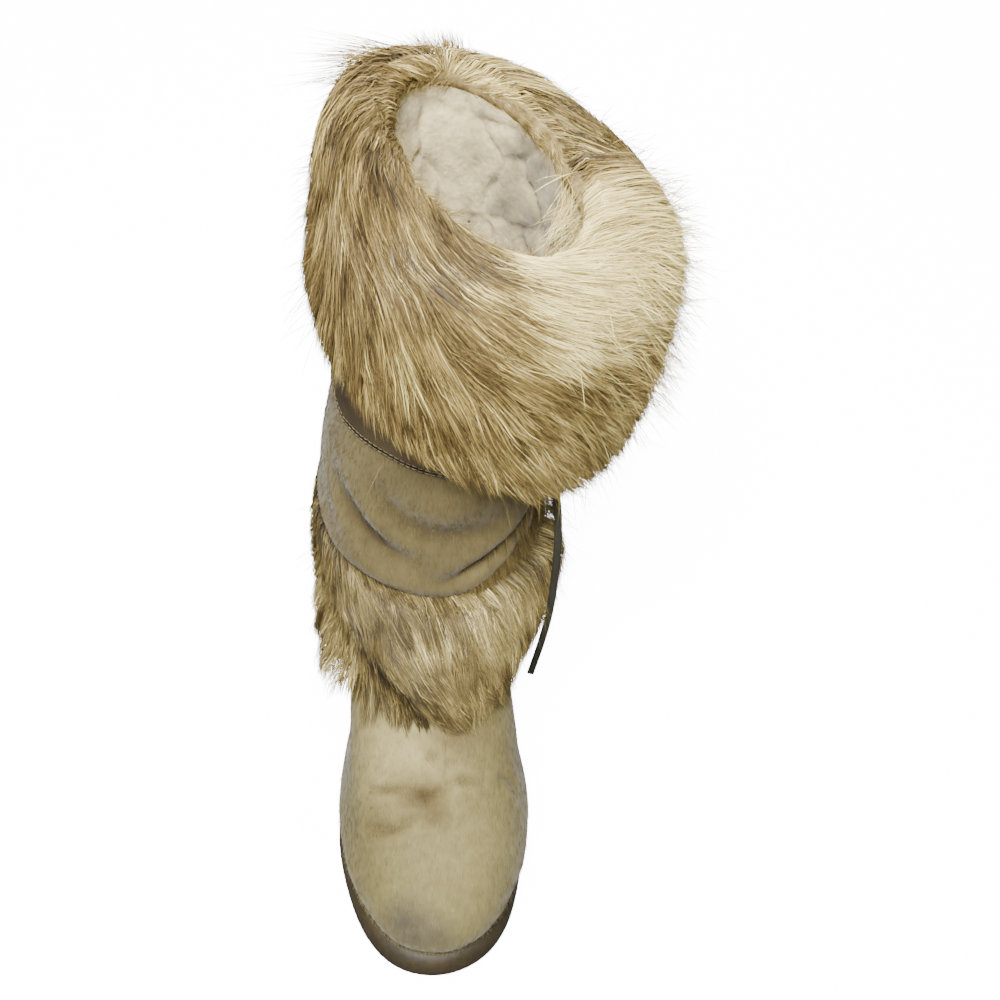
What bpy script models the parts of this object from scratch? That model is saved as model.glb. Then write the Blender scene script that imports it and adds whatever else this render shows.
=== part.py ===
"""A left winter boot: rubber outsole, insole, haired upper, ankle fur, leather band, fur collar and lace.

The boot stands on its sole with the toe towards -Y and +Z up. It is a left boot, so +X is its outer side.
The origin is the middle of the heel's flat rest on the floor. Sizes and tables are in millimetres.
"""

import bisect
import math

import bmesh
import bpy
from mathutils import Vector

MM = 0.001

# Driving dimensions.
SOLE_LENGTH = 280.0
BALL_HALF_WIDTH = 52.0
WALL = 5.0
FIT_GAP = 0.4
INSOLE_THICKNESS = 3.0
INSOLE_INSET = 14.0
BAND_THICKNESS = 2.0
LACE_DIAMETER = 4.0

RING_POINTS = 36
SOLE_POINTS = 96
STEPS_PER_ROW = 2

# The footprint along the boot, from the heel at 0 to the toe at 1. Half widths are those of an oval
# as long as the boot, so that its round ends close the outline. heel_rest and ball_rest lie on the floor.
FOOTPRINT_COLUMNS = ("share", "half_width", "centre_x")
FOOTPRINT = (
    (0.00, 73.0, 2.0),
    (0.07, 65.0, 2.0),
    (0.14, 54.5, 2.0),
    (0.24, 45.0, 2.5),
    (0.42, 38.5, 3.5),
    (0.60, 49.0, 2.0),
    (0.72, 57.5, 0.5),
    (0.84, 62.5, -1.0),
    (0.93, 69.0, -2.0),
    (1.00, 77.0, -3.0),
)

HEEL_REST = (0.05, 0.30)
BALL_REST = (0.54, 0.74)
SOLE_COLUMNS = ("share", "bottom_z", "top_z")
SOLE = (
    (0.00, 4.0, 31.0),
    (HEEL_REST[0], 0.0, 30.5),
    (HEEL_REST[1], 0.0, 27.0),
    (0.42, 5.0, 23.5),
    (BALL_REST[0], 0.0, 21.0),
    (BALL_REST[1], 0.0, 20.0),
    (0.90, 4.5, 23.0),
    (1.00, 11.0, 28.0),
)

# The sole's side from the floor up: how far each level stands inside the footprint, at the heel and at the toe.
SOLE_SIDE_COLUMNS = ("height_share", "heel_inset", "toe_inset")
SOLE_SIDE = (
    (0.00, 3.0, 3.0),
    (0.10, 0.8, 0.8),
    (0.35, 0.0, 0.0),
    (0.75, 0.8, 3.0),
    (1.00, 2.5, 7.0),
)

GROOVE_WIDTH = 4.0
GROOVE_DEPTH = 3.0
GROOVE_PITCH = 13.0
HEEL_GROOVES = (-3, 2)
BALL_GROOVES = (-16, -8)

# One row for each section of the upper, from the sole to the rim. front and back are the section's two ends
# on the boot's middle line, foot is how much the footprint and the sole's top shape it, lean_x shifts it to
# the outer side, roll_deg lowers its outer side and slack is how much of the mouth's slack it takes.
# over_rim is only for the fur that stands over the rim.
RING_COLUMNS = (
    "front_y", "front_z", "back_y", "back_z", "half_width", "foot", "lean_x", "roll_deg", "slack",
)
RINGS = {
    "feather": (-223.0, 28.5, 42.0, 31.5, 48.0, 1.00, 0.0, 0.0, 0.0),
    "side_wall": (-225.0, 41.0, 45.0, 46.0, 50.5, 1.00, 0.0, 0.0, 0.0),
    "toe_box": (-217.0, 55.0, 47.0, 61.0, 49.0, 0.95, 0.0, 0.0, 0.0),
    "toe_top": (-199.0, 67.0, 48.0, 75.0, 47.0, 0.80, 0.0, 0.0, 0.0),
    "vamp": (-176.0, 76.0, 48.0, 87.0, 45.5, 0.60, 0.0, 0.0, 0.0),
    "instep": (-149.0, 86.0, 47.0, 99.0, 45.0, 0.40, 0.0, 0.0, 0.0),
    "throat": (-122.0, 97.0, 46.0, 110.0, 45.5, 0.22, 1.0, 0.0, 0.0),
    "ankle_low": (-97.0, 110.0, 45.0, 121.0, 47.0, 0.08, 2.0, 0.0, 0.0),
    "ankle": (-80.0, 124.0, 45.0, 135.0, 50.0, 0.00, 3.0, 0.0, 0.0),
    "seam": (-70.0, 139.0, 46.0, 150.0, 53.0, 0.00, 3.5, 2.0, 0.0),
    "fold": (-70.0, 162.0, 49.0, 168.0, 57.5, 0.00, 3.5, 4.0, 0.0),
    "calf_low": (-65.0, 198.0, 52.0, 194.0, 56.5, 0.00, 5.5, 7.0, 0.0),
    "band": (-57.0, 244.0, 57.0, 231.0, 52.5, 0.00, 9.5, 9.5, 0.0),
    "collar_low": (-52.0, 274.0, 61.0, 264.0, 51.0, 0.00, 12.5, 9.0, 0.1),
    "collar_mid": (-45.0, 304.0, 67.0, 301.0, 49.5, 0.00, 16.0, 9.0, 0.5),
    "rim": (-36.0, 336.0, 73.0, 340.0, 49.0, 0.00, 18.0, 9.0, 1.0),
    "over_rim": (-33.0, 345.0, 75.0, 350.0, 48.5, 0.00, 19.0, 9.0, 1.15),
}
ROW = {name: index for index, name in enumerate(RINGS)}

# The empty mouth is slack: it is longer towards this side of the front and narrower across it.
SLACK_DEG = 35.0
SLACK_LONGER = 0.13
SLACK_NARROWER = 0.17

# A fur piece runs up the upper between two rows. Its profile goes from the underside of the hair tips to its
# top edge, in shares of the depth of the fur. The depth, which goes from low_depth to high_depth as high_share
# goes from 0 to 1, and how far the hair hangs differ from side to side.
FUR_COLUMNS = ("row", "depth_share", "drop", "high_share")
SIDE_COLUMNS = ("angle", "low_depth", "high_depth", "drop_share")
COLLAR_FUR_FOOT = ROW["band"] + 0.5
COLLAR_FUR = (
    (ROW["band"] + 0.5, 0.12, 0.0, 0.0),
    (ROW["band"] + 0.2, 0.50, 5.0, 0.0),
    (ROW["band"] + 0.0, 0.86, 8.0, 0.0),
    (ROW["band"] + 0.6, 0.98, 6.0, 0.05),
    (ROW["collar_low"] + 0.4, 1.00, 4.0, 0.3),
    (ROW["collar_mid"] + 0.2, 0.97, 2.0, 0.65),
    (ROW["rim"] - 0.2, 0.82, 0.0, 0.95),
    (ROW["rim"] + 0.5, 0.58, 0.0, 1.0),
    (ROW["over_rim"] + 0.0, 0.28, 0.0, 1.0),
)
COLLAR_SIDES = (
    (-180.0, 31.0, 20.0, 1.0),
    (-135.0, 31.0, 20.0, 0.8),
    (-90.0, 15.5, 18.0, -0.9),
    (-45.0, 20.0, 36.0, -1.4),
    (0.0, 26.0, 32.0, -0.3),
    (35.0, 36.0, 34.0, 1.2),
    (90.0, 41.0, 44.0, 1.4),
    (135.0, 31.0, 35.0, 1.2),
    (180.0, 31.0, 20.0, 1.0),
)

ANKLE_FUR_FOOT = ROW["throat"] + 0.5
ANKLE_FUR_TOP = ROW["seam"] + 0.0
ANKLE_FUR = (
    (ROW["throat"] + 0.5, 0.30, 3.0, 0.0),
    (ROW["throat"] + 0.1, 0.60, 2.0, 0.0),
    (ROW["throat"] + 0.7, 0.90, 0.0, 0.5),
    (ROW["ankle_low"] + 0.5, 1.00, 0.0, 0.5),
    (ROW["ankle"] + 0.3, 0.95, 0.0, 1.0),
    (ROW["seam"] + 0.1, 0.70, 0.0, 1.0),
    (ROW["seam"] + 0.0, 0.30, 0.0, 1.0),
)
ANKLE_SIDES = (
    (-180.0, 14.0, 14.0, 1.0),
    (-90.0, 9.0, 9.0, 1.0),
    (0.0, 17.0, 17.0, 1.0),
    (90.0, 19.0, 19.0, 1.0),
    (180.0, 14.0, 14.0, 1.0),
)

BAND_FOOT = ROW["band"] - 0.33
BAND_TOP = ROW["band"] + 0.46

# The lace is tied on the outer side, against the band, and its end hangs over the ankle fur.
KNOT_CENTRE = (54.5, -45.9, 221.8)
KNOT_HALF_SIZE = (5.5, 6.5, 5.5)
LACE_ROUTE = (
    (54.7, -46.1, 215.5),
    (56.2, -49.3, 206.5),
    (58.3, -53.6, 197.5),
    (60.2, -58.3, 186.0),
    (61.6, -63.0, 171.0),
    (62.6, -67.8, 152.0),
    (63.4, -71.6, 132.0),
    (63.4, -74.8, 112.0),
    (62.5, -77.5, 93.0),
    (61.0, -80.0, 75.0),
    (59.5, -82.0, 58.0),
)

COLOURS = {
    "rubber": (0.10, 0.075, 0.05),
    "felt": (0.55, 0.50, 0.40),
    "haired_hide": (0.34, 0.28, 0.17),
    "long_fur": (0.50, 0.41, 0.23),
    "brown_leather": (0.12, 0.08, 0.04),
    "dark_leather": (0.03, 0.03, 0.02),
}


def smooth(keys, values, at):
    """Value at a place on the curve through a table's values, with no overshoot between them."""
    last = len(keys) - 1
    rises = [(values[i + 1] - values[i]) / (keys[i + 1] - keys[i]) for i in range(last)]

    def slope(i):
        if i in (0, last):
            return rises[min(i, last - 1)]
        before, after = rises[i - 1], rises[i]
        return 2 * before * after / (before + after) if before * after > 0 else 0.0

    i = min(max(bisect.bisect_right(keys, at) - 1, 0), last - 1)
    width = keys[i + 1] - keys[i]
    t = (at - keys[i]) / width
    bend = (1 - t) * slope(i) - t * slope(i + 1)
    fair = (1 - t) ** 2 * (1 + 2 * t) * values[i] + t**2 * (3 - 2 * t) * values[i + 1]
    return fair + t * (1 - t) * width * bend


def column(columns, rows, name):
    place = columns.index(name)
    return [row[place] for row in rows]


def read(columns, rows, name, at):
    """Value of a named column at a place along the table's first column."""
    return smooth(column(columns, rows, columns[0]), column(columns, rows, name), at)


def mix(first, second, share):
    return first + (second - first) * share


# ---- The sole's outline ----

HEEL_BACK_Y = SOLE_LENGTH * (HEEL_REST[0] + HEEL_REST[1]) / 2
TOE_TIP_Y = HEEL_BACK_Y - SOLE_LENGTH


def ring_angles(count=RING_POINTS):
    """Angles round the boot from above, from the toe through the outer side and the heel to the inner side."""
    return [2 * math.pi * i / count for i in range(count)]


def share_at(y):
    return min(max((HEEL_BACK_Y - y) / SOLE_LENGTH, 0.0), 1.0)


def sole_z(name, y):
    return read(SOLE_COLUMNS, SOLE, name, share_at(y))


def footprint(angle, inset=0.0):
    """Point of the footprint, moved inwards square to the outline."""

    def at(place):
        share = (1 + math.cos(place)) / 2
        half = read(FOOTPRINT_COLUMNS, FOOTPRINT, "half_width", share)
        centre = read(FOOTPRINT_COLUMNS, FOOTPRINT, "centre_x", share)
        return Vector((centre + half * math.sin(place), mix(HEEL_BACK_Y, TOE_TIP_Y, share)))

    step = 0.01
    along = (at(angle + step) - at(angle - step)).normalized()
    return at(angle) - inset * Vector((along.y, -along.x))


# ---- The upper's skin ----


def slacken(place, slack):
    """A place in a section, from its middle, drawn along the slack mouth's long way and in across it."""
    long_way = Vector((math.sin(math.radians(SLACK_DEG)), -math.cos(math.radians(SLACK_DEG))))
    along = place.dot(long_way) * long_way
    return along * (1 + slack * SLACK_LONGER) + (place - along) * (1 - slack * SLACK_NARROWER)


def skin(row, angle):
    """Point of the upper's outer face, at a row or between two."""
    rows = list(range(len(RINGS)))
    ring = {
        name: smooth(rows, column(RING_COLUMNS, list(RINGS.values()), name), row) for name in RING_COLUMNS
    }
    share = (1 + math.cos(angle)) / 2
    side = math.sin(angle)
    foot = ring["foot"]
    y = mix(ring["back_y"], ring["front_y"], share)
    z = mix(ring["back_z"], ring["front_z"], share)
    straight = mix(sole_z("top_z", HEEL_BACK_Y), sole_z("top_z", TOE_TIP_Y), share)
    z += foot * (sole_z("top_z", y) - straight)

    half = read(FOOTPRINT_COLUMNS, FOOTPRINT, "half_width", share)
    centre = read(FOOTPRINT_COLUMNS, FOOTPRINT, "centre_x", share)
    shaped = centre + side * half * ring["half_width"] / BALL_HALF_WIDTH
    x = mix(side * ring["half_width"], shaped, foot)
    middle_y = (ring["front_y"] + ring["back_y"]) / 2
    level = slacken(Vector((x, y - middle_y)), ring["slack"])
    z -= level.x * math.tan(math.radians(ring["roll_deg"]))
    return Vector((level.x + ring["lean_x"], level.y + middle_y, z))


def skin_off(row, angle, distance):
    """Point a distance off the upper's outer face, square to it."""
    step = 0.01
    round_it = skin(row, angle + step) - skin(row, angle - step)
    up_it = skin(row + step, angle) - skin(row - step, angle)
    return skin(row, angle) + distance * round_it.cross(up_it).normalized()


def rows_between(first, last):
    """Both rows, and the steps between them that the upper's own rings lie on."""
    inner = range(math.floor(first * STEPS_PER_ROW) + 1, math.ceil(last * STEPS_PER_ROW))
    return [first] + [i / STEPS_PER_ROW for i in inner] + [last]


# ---- Building ----


def principled(name):
    material = bpy.data.materials.get(name) or bpy.data.materials.new(name)
    material.use_nodes = True
    shader = material.node_tree.nodes["Principled BSDF"]
    shader.inputs["Base Color"].default_value = (*COLOURS[name], 1.0)
    shader.inputs["Roughness"].default_value = 0.55 if name == "rubber" else 0.85
    shader.inputs["Metallic"].default_value = 0.0
    return material


def collection(name):
    made = bpy.data.collections.new(name)
    bpy.context.scene.collection.children.link(made)
    return made


def add_object(name, mesh, material, home):
    """An object of a finished bmesh, in metres."""
    bmesh.ops.scale(mesh, vec=(MM, MM, MM), verts=mesh.verts)
    data = bpy.data.meshes.new(name)
    mesh.to_mesh(data)
    mesh.free()
    data.shade_smooth()
    data.set_sharp_from_angle(angle=math.radians(50))
    data.materials.append(principled(material))
    made = bpy.data.objects.new(name, data)
    home.objects.link(made)
    return made


def loft(mesh, rings, closed=False):
    """Faces between neighbouring rings of points. closed joins the last ring to the first."""
    made = [[mesh.verts.new(point) for point in ring] for ring in rings]
    pairs = list(zip(made, made[1:]))
    if closed:
        pairs.append((made[-1], made[0]))
    for low, high in pairs:
        for i in range(len(low)):
            after = (i + 1) % len(low)
            mesh.faces.new((low[i], low[after], high[after], high[i]))
    return made


def cap(mesh, ring, upward):
    """Rungs across a ring that starts at the toe, so that the cap follows the sole's rise and fall."""
    count = len(ring)
    for i in range(count // 2):
        corners = (ring[i], ring[i + 1], ring[-i - 1], ring[-i] if i else ring[0])
        corners = list(dict.fromkeys(corners))
        mesh.faces.new(corners if upward else corners[::-1])


def make_sole(home, cutters):
    mesh = bmesh.new()
    rings = []
    for height, heel_inset, toe_inset in SOLE_SIDE:
        ring = []
        for angle in ring_angles(SOLE_POINTS):
            toe_side = smooth((0.0, 0.5, 1.0), (0.0, 0.25, 1.0), (1 + math.cos(angle)) / 2)
            point = footprint(angle, mix(heel_inset, toe_inset, toe_side))
            z = mix(sole_z("bottom_z", point.y), sole_z("top_z", point.y), height)
            ring.append((point.x, point.y, z))
        rings.append(ring)
    made = loft(mesh, rings)
    cap(mesh, made[0], upward=False)
    cap(mesh, made[-1], upward=True)
    outsole = add_object("outsole", mesh, "rubber", home)

    grooves = bmesh.new()
    for first, last in (HEEL_GROOVES, BALL_GROOVES):
        for number in range(first, last + 1):
            y = (number + 0.5) * GROOVE_PITCH
            box = bmesh.ops.create_cube(grooves, size=1.0)["verts"]
            bmesh.ops.scale(grooves, vec=(3 * BALL_HALF_WIDTH, GROOVE_WIDTH, 2 * GROOVE_DEPTH), verts=box)
            bmesh.ops.translate(grooves, vec=(0, y, sole_z("bottom_z", y)), verts=box)
    cutter = add_object("tread_cutter", grooves, "rubber", cutters)
    cutter.hide_render = True
    cutter.display_type = "WIRE"
    cut = outsole.modifiers.new("tread", "BOOLEAN")
    cut.operation = "DIFFERENCE"
    cut.object = cutter


def make_insole(home):
    mesh = bmesh.new()
    rings = []
    for rise in (FIT_GAP, FIT_GAP + INSOLE_THICKNESS):
        places = [footprint(angle, INSOLE_INSET) for angle in ring_angles()]
        rings.append([(point.x, point.y, sole_z("top_z", point.y) + rise) for point in places])
    made = loft(mesh, rings)
    cap(mesh, made[0], upward=False)
    cap(mesh, made[-1], upward=True)
    add_object("insole", mesh, "felt", home)


def make_upper(home):
    """The hollow upper: one open skin from the sole to the rim, with its wall inwards."""
    mesh = bmesh.new()
    rings = []
    for row in rows_between(ROW["feather"], ROW["rim"]):
        rings.append([skin(row, angle) for angle in ring_angles()])
    loft(mesh, rings)
    upper = add_object("upper", mesh, "haired_hide", home)
    wall = upper.modifiers.new("wall", "SOLIDIFY")
    wall.thickness = WALL * MM
    wall.offset = -1.0
    wall.use_even_offset = True
    wall.use_quality_normals = True


def make_wrap(name, foot_row, top_row, outside, material, home):
    """A ring round the upper: its inner face lies FIT_GAP off the skin between two rows."""
    mesh = bmesh.new()
    inside = []
    for row in reversed(rows_between(foot_row, top_row)):
        inside.append([skin_off(row, angle, FIT_GAP) for angle in ring_angles()])
    loft(mesh, outside + inside, closed=True)
    add_object(name, mesh, material, home)


def fur_rings(profile, sides):
    """Rings up the outside of a fur piece."""
    numbers = list(range(len(profile)))
    rings = []
    for step in range(STEPS_PER_ROW * (len(profile) - 1) + 1):
        at = step / STEPS_PER_ROW
        row, share, drop, high = (smooth(numbers, column(FUR_COLUMNS, profile, name), at) for name in FUR_COLUMNS)
        ring = []
        for angle in ring_angles():
            side = math.degrees(math.remainder(angle, 2 * math.pi))
            low_depth, high_depth, hanging = (
                read(SIDE_COLUMNS, sides, name, side) for name in SIDE_COLUMNS[1:]
            )
            point = skin_off(row, angle, FIT_GAP + share * mix(low_depth, high_depth, high))
            hang = drop * hanging
            ring.append(point - Vector((0, 0, hang)))
        rings.append(ring)
    return rings


def make_furs(home):
    collar = fur_rings(COLLAR_FUR, COLLAR_SIDES)
    make_wrap("fur_collar", COLLAR_FUR_FOOT, ROW["over_rim"], collar, "long_fur", home)
    ankle = fur_rings(ANKLE_FUR, ANKLE_SIDES)
    make_wrap("ankle_fur", ANKLE_FUR_FOOT, ANKLE_FUR_TOP, ankle, "long_fur", home)


def make_band(home):
    outside = []
    for row in rows_between(BAND_FOOT, BAND_TOP):
        outside.append([skin_off(row, angle, FIT_GAP + BAND_THICKNESS) for angle in ring_angles()])
    make_wrap("collar_band", BAND_FOOT, BAND_TOP, outside, "brown_leather", home)


def make_knot(home):
    mesh = bmesh.new()
    bmesh.ops.create_uvsphere(mesh, u_segments=16, v_segments=10, radius=1.0)
    bmesh.ops.scale(mesh, vec=KNOT_HALF_SIZE, verts=mesh.verts)
    bmesh.ops.translate(mesh, vec=KNOT_CENTRE, verts=mesh.verts)
    add_object("lace_knot", mesh, "dark_leather", home)


def make_lace(home):
    curve = bpy.data.curves.new("lace_end", "CURVE")
    curve.dimensions = "3D"
    curve.bevel_depth = LACE_DIAMETER / 2 * MM
    curve.bevel_resolution = 2
    curve.use_fill_caps = True
    numbers = list(range(len(LACE_ROUTE)))
    steps = 2 * (len(LACE_ROUTE) - 1)
    line = curve.splines.new("POLY")
    line.points.add(steps)
    for i in range(steps + 1):
        place = [smooth(numbers, [point[axis] for point in LACE_ROUTE], i / 2) * MM for axis in range(3)]
        line.points[i].co = (*place, 1.0)
    curve.materials.append(principled("dark_leather"))
    home.objects.link(bpy.data.objects.new("lace_end", curve))


def main():
    for old in list(bpy.data.objects):
        bpy.data.objects.remove(old)
    boot = collection("winter_boot")
    cutters = collection("cutters")
    make_sole(boot, cutters)
    make_insole(boot)
    make_upper(boot)
    make_band(boot)
    make_furs(boot)
    make_knot(boot)
    make_lace(boot)


main()
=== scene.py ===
import math

import bmesh
import bpy
import numpy as np
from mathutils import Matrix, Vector, noise
from mathutils.bvhtree import BVHTree
from mathutils.kdtree import KDTree


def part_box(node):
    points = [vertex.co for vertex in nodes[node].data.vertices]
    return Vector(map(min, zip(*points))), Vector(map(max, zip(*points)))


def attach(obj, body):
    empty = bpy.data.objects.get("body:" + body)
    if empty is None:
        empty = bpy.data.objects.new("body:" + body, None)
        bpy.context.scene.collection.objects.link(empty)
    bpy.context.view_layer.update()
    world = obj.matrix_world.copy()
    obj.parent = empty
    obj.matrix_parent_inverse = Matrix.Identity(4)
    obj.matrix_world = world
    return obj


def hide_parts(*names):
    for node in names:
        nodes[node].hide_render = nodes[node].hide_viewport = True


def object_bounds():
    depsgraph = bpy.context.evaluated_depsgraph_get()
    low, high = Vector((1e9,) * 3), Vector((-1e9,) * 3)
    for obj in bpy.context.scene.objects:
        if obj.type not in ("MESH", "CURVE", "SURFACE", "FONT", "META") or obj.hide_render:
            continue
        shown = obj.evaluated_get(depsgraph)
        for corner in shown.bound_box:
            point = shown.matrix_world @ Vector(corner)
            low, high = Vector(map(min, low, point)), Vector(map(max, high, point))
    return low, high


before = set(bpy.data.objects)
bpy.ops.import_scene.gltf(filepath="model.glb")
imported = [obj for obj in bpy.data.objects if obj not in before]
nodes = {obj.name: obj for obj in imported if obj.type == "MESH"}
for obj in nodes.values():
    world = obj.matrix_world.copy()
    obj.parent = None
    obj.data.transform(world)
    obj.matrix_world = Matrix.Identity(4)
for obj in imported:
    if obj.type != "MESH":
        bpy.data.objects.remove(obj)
cadBox = [list(corner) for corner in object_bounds()]
# how far soft hair may stand past that box
farthest = 0.03 * np.ptp(cadBox, axis=0) + 0.0085
print("frame loaded")


def addObject(name, data, *materials):
    made = bpy.data.objects.new(name, data)
    bpy.context.scene.collection.objects.link(made)
    for material in materials:
        data.materials.append(material)
    return made


def addPiece(name, data, slot, *materials, stands=()):
    piece = addObject(name, data, *materials)
    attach(piece, "root")
    if stands:
        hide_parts(*stands)
    return piece


def meshOf(name, mesh, smooth=True):
    data = bpy.data.meshes.new(name)
    mesh.to_mesh(data)
    mesh.free()
    if smooth:
        data.shade_smooth()
    return data


def nodeCopy(name, quads=True):
    # a merged copy of a node's loose triangles
    mesh = bmesh.new()
    mesh.from_mesh(nodes[name].data)
    bmesh.ops.remove_doubles(mesh, verts=mesh.verts, dist=1e-5)
    if quads:
        limits = {"angle_face_threshold": math.radians(50), "angle_shape_threshold": math.radians(70)}
        bmesh.ops.join_triangles(mesh, faces=mesh.faces, **limits)
    return mesh


def keepFaces(mesh, wanted):
    unwanted = [face for face in mesh.faces if not wanted(face)]
    bmesh.ops.delete(mesh, geom=unwanted, context="FACES")


def smoothed(mesh, levels):
    # the bmesh after Subdivision Surface, as a new bmesh
    holder = addObject("holder", meshOf("holder", mesh))
    rounding = holder.modifiers.new("rounding", "SUBSURF")
    rounding.levels = levels
    rounding.render_levels = levels
    ready = holder.evaluated_get(bpy.context.evaluated_depsgraph_get())
    result = bmesh.new()
    result.from_mesh(ready.to_mesh())
    ready.to_mesh_clear()
    data = holder.data
    bpy.data.objects.remove(holder)
    bpy.data.meshes.remove(data)
    return result


def pointsOf(mesh):
    return np.array([vert.co for vert in mesh.verts])


def normalsOf(mesh):
    mesh.normal_update()
    return np.array([vert.normal for vert in mesh.verts])


def setPoints(mesh, points):
    for vert, point in zip(mesh.verts, points):
        vert.co = point


def faceOut(mesh):
    bmesh.ops.recalc_face_normals(mesh, faces=mesh.faces)


def drawnOut(mesh, edges):
    # the edges and points drawn out of some edges
    made = bmesh.ops.extrude_edge_only(mesh, edges=edges)["geom"]
    kinds = bmesh.types.BMEdge, bmesh.types.BMVert
    return [[item for item in made if isinstance(item, kind)] for kind in kinds]


def joinRings(mesh, rings, closed=False):
    # faces between rings of points: round to the first again, or a row with a cap at each end
    pairs = list(zip(rings, rings[1:]))
    if closed:
        pairs.append((rings[-1], rings[0]))
    else:
        mesh.faces.new(rings[0])
        mesh.faces.new(rings[-1])
    for low, high in pairs:
        for k in range(len(low)):
            after = (k + 1) % len(low)
            mesh.faces.new((low[k], low[after], high[after], high[k]))


def kdTree(points):
    tree = KDTree(len(points))
    for number, place in enumerate(points):
        tree.insert(place, number)
    tree.balance()
    return tree


def nodePoints(name, above=0.0):
    points = np.array([vert.co for vert in nodes[name].data.vertices])
    return points[points[:, 2] >= above]


def unit(vectors):
    return vectors / np.maximum(np.linalg.norm(vectors, axis=-1, keepdims=True), 1e-9)


def nearestOn(tree, points):
    found = [tree.find_nearest(point) for point in points]
    places = np.array([hit[0] for hit in found])
    normals = np.array([hit[1] for hit in found])
    return places, normals


# The shaft's middle line. Angles are taken round it: 0 at the front, 90 at the outer side, 180 at the back.
bandLow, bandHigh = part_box("collar_band")
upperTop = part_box("upper")[1].z
shaftLow = np.array([(low + high) / 2 for low, high in zip(bandLow, bandHigh)])
rimPoints = nodePoints("upper", upperTop - 0.02)
shaftHigh = (rimPoints.min(0) + rimPoints.max(0)) / 2
shaftRadius = 0.075
twoDegrees = np.arange(0, 360, 2)


def shaftCentre(points):
    share = (points[..., 2] - shaftLow[2]) / (shaftHigh[2] - shaftLow[2])
    return shaftLow[:2] + share[..., None] * (shaftHigh - shaftLow)[:2]


def outwards(points):
    # level direction from the shaft's middle line
    flat = points[..., :2] - shaftCentre(points)
    return unit(np.concatenate([flat, np.zeros(flat.shape[:-1] + (1,))], axis=-1))


def angleOf(points):
    away = outwards(points)
    return np.degrees(np.arctan2(away[..., 0], -away[..., 1]))


def beside(angles, angle, reach):
    return np.abs((angles - angle + 180) % 360 - 180) < reach


def between(angles, first, last):
    return (angles - first) % 360 < last - first


def around(points, angles, values):
    # a value that changes round the shaft, at each point
    return np.interp(angleOf(points), angles, values, period=360)


def edgeHeights(points, pick=np.min):
    # the lowest or highest place of a mesh: a height for every two degrees
    angles = angleOf(points)
    heights = [pick(points[beside(angles, angle, 5)][:, 2]) for angle in twoDegrees]
    return sum(np.roll(heights, shift) for shift in (-2, -1, 0, 1, 2)) / 5


def openings(mesh):
    # the edges round its lower and its upper opening
    points = pointsOf(mesh)
    halfway = (edgeHeights(points) + edgeHeights(points, np.max)) / 2
    lower, upper = [], []
    for edge in mesh.edges:
        if edge.is_boundary:
            middle = np.array((edge.verts[0].co + edge.verts[1].co) / 2)
            low = middle[2] < around(middle, twoDegrees, halfway)
            (lower if low else upper).append(edge)
    return lower, upper


def moveOut(vert, out, rise):
    vert.co += Vector(outwards(np.array(vert.co))) * out + Vector((0, 0, rise))


bandOwn = edgeHeights(nodePoints("collar_band"))
# the band sags a little below its own edge by the inner front
bandSag = (
    (-120, 0.0), (-90, 0.006), (-65, 0.008), (-33, 0.004), (-6, 0.0045), (15, 0.003), (45, 0.0), (180, 0.0),
)
bandHeights = bandOwn - np.interp(twoDegrees, *zip(*bandSag), period=360)

camera = {"place": (-0.0664, -0.3884, 0.7181), "aim": (0.0497, 0.0113, 0.0942), "lens": 46.8, "roll": 11.04}


def addCamera():
    data = bpy.data.cameras.new("camera")
    data.lens = camera["lens"]
    data.sensor_width = 36
    data.clip_start = 0.01
    made = bpy.data.objects.new("camera", data)
    place = Vector(camera["place"])
    look = (Vector(camera["aim"]) - place).to_track_quat("-Z", "Y").to_matrix()
    turn = math.radians(camera["roll"])
    made.location = place
    made.rotation_euler = look.to_euler()
    made.rotation_euler.rotate_axis("Z", turn)
    bpy.context.scene.collection.objects.link(made)
    bpy.context.scene.camera = made


addCamera()
print("camera placed")


def newMaterial(name, roughness, specular=0.3, sheen=0.0):
    material = bpy.data.materials.new(name)
    material.use_nodes = True
    shader = material.node_tree.nodes["Principled BSDF"]
    shader.inputs["Roughness"].default_value = roughness
    shader.inputs["Specular IOR Level"].default_value = specular
    shader.inputs["Sheen Weight"].default_value = sheen
    return material, material.node_tree, shader


def addNode(tree, kind, inputs, **settings):
    # a shader node; each of its inputs is linked to a socket or gets a value
    made = tree.nodes.new("ShaderNode" + kind)
    for key, value in settings.items():
        setattr(made, key, value)
    for place, value in inputs.items():
        if isinstance(value, bpy.types.NodeSocket):
            tree.links.new(value, made.inputs[place])
        else:
            made.inputs[place].default_value = value
    return made


def ramp(tree, factor, *stops):
    made = addNode(tree, "ValToRGB", {"Fac": factor})
    colours = made.color_ramp
    while len(colours.elements) < len(stops):
        colours.elements.new(0.5)
    for element, (place, colour) in zip(colours.elements, stops):
        element.position = place
        element.color = (*colour, 1)
    return made.outputs["Color"]


def mix(tree, factor, first, second, blend="MIX"):
    first, second = ((*value, 1) if isinstance(value, tuple) else value for value in (first, second))
    made = addNode(tree, "Mix", {0: factor, 6: first, 7: second}, data_type="RGBA", blend_type=blend)
    return made.outputs[2]


def noiseNode(tree, coordinates, scale, detail, stretch=(1, 1, 1)):
    place = addNode(tree, "Mapping", {"Scale": stretch, "Vector": coordinates}).outputs["Vector"]
    return addNode(tree, "TexNoise", {"Scale": scale, "Detail": detail, "Vector": place}).outputs["Fac"]


def objectCoordinates(tree):
    return addNode(tree, "TexCoord", {}).outputs["Object"]


def times(tree, factor, value):
    return addNode(tree, "Math", {0: factor, 1: value}, operation="MULTIPLY").outputs["Value"]


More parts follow.
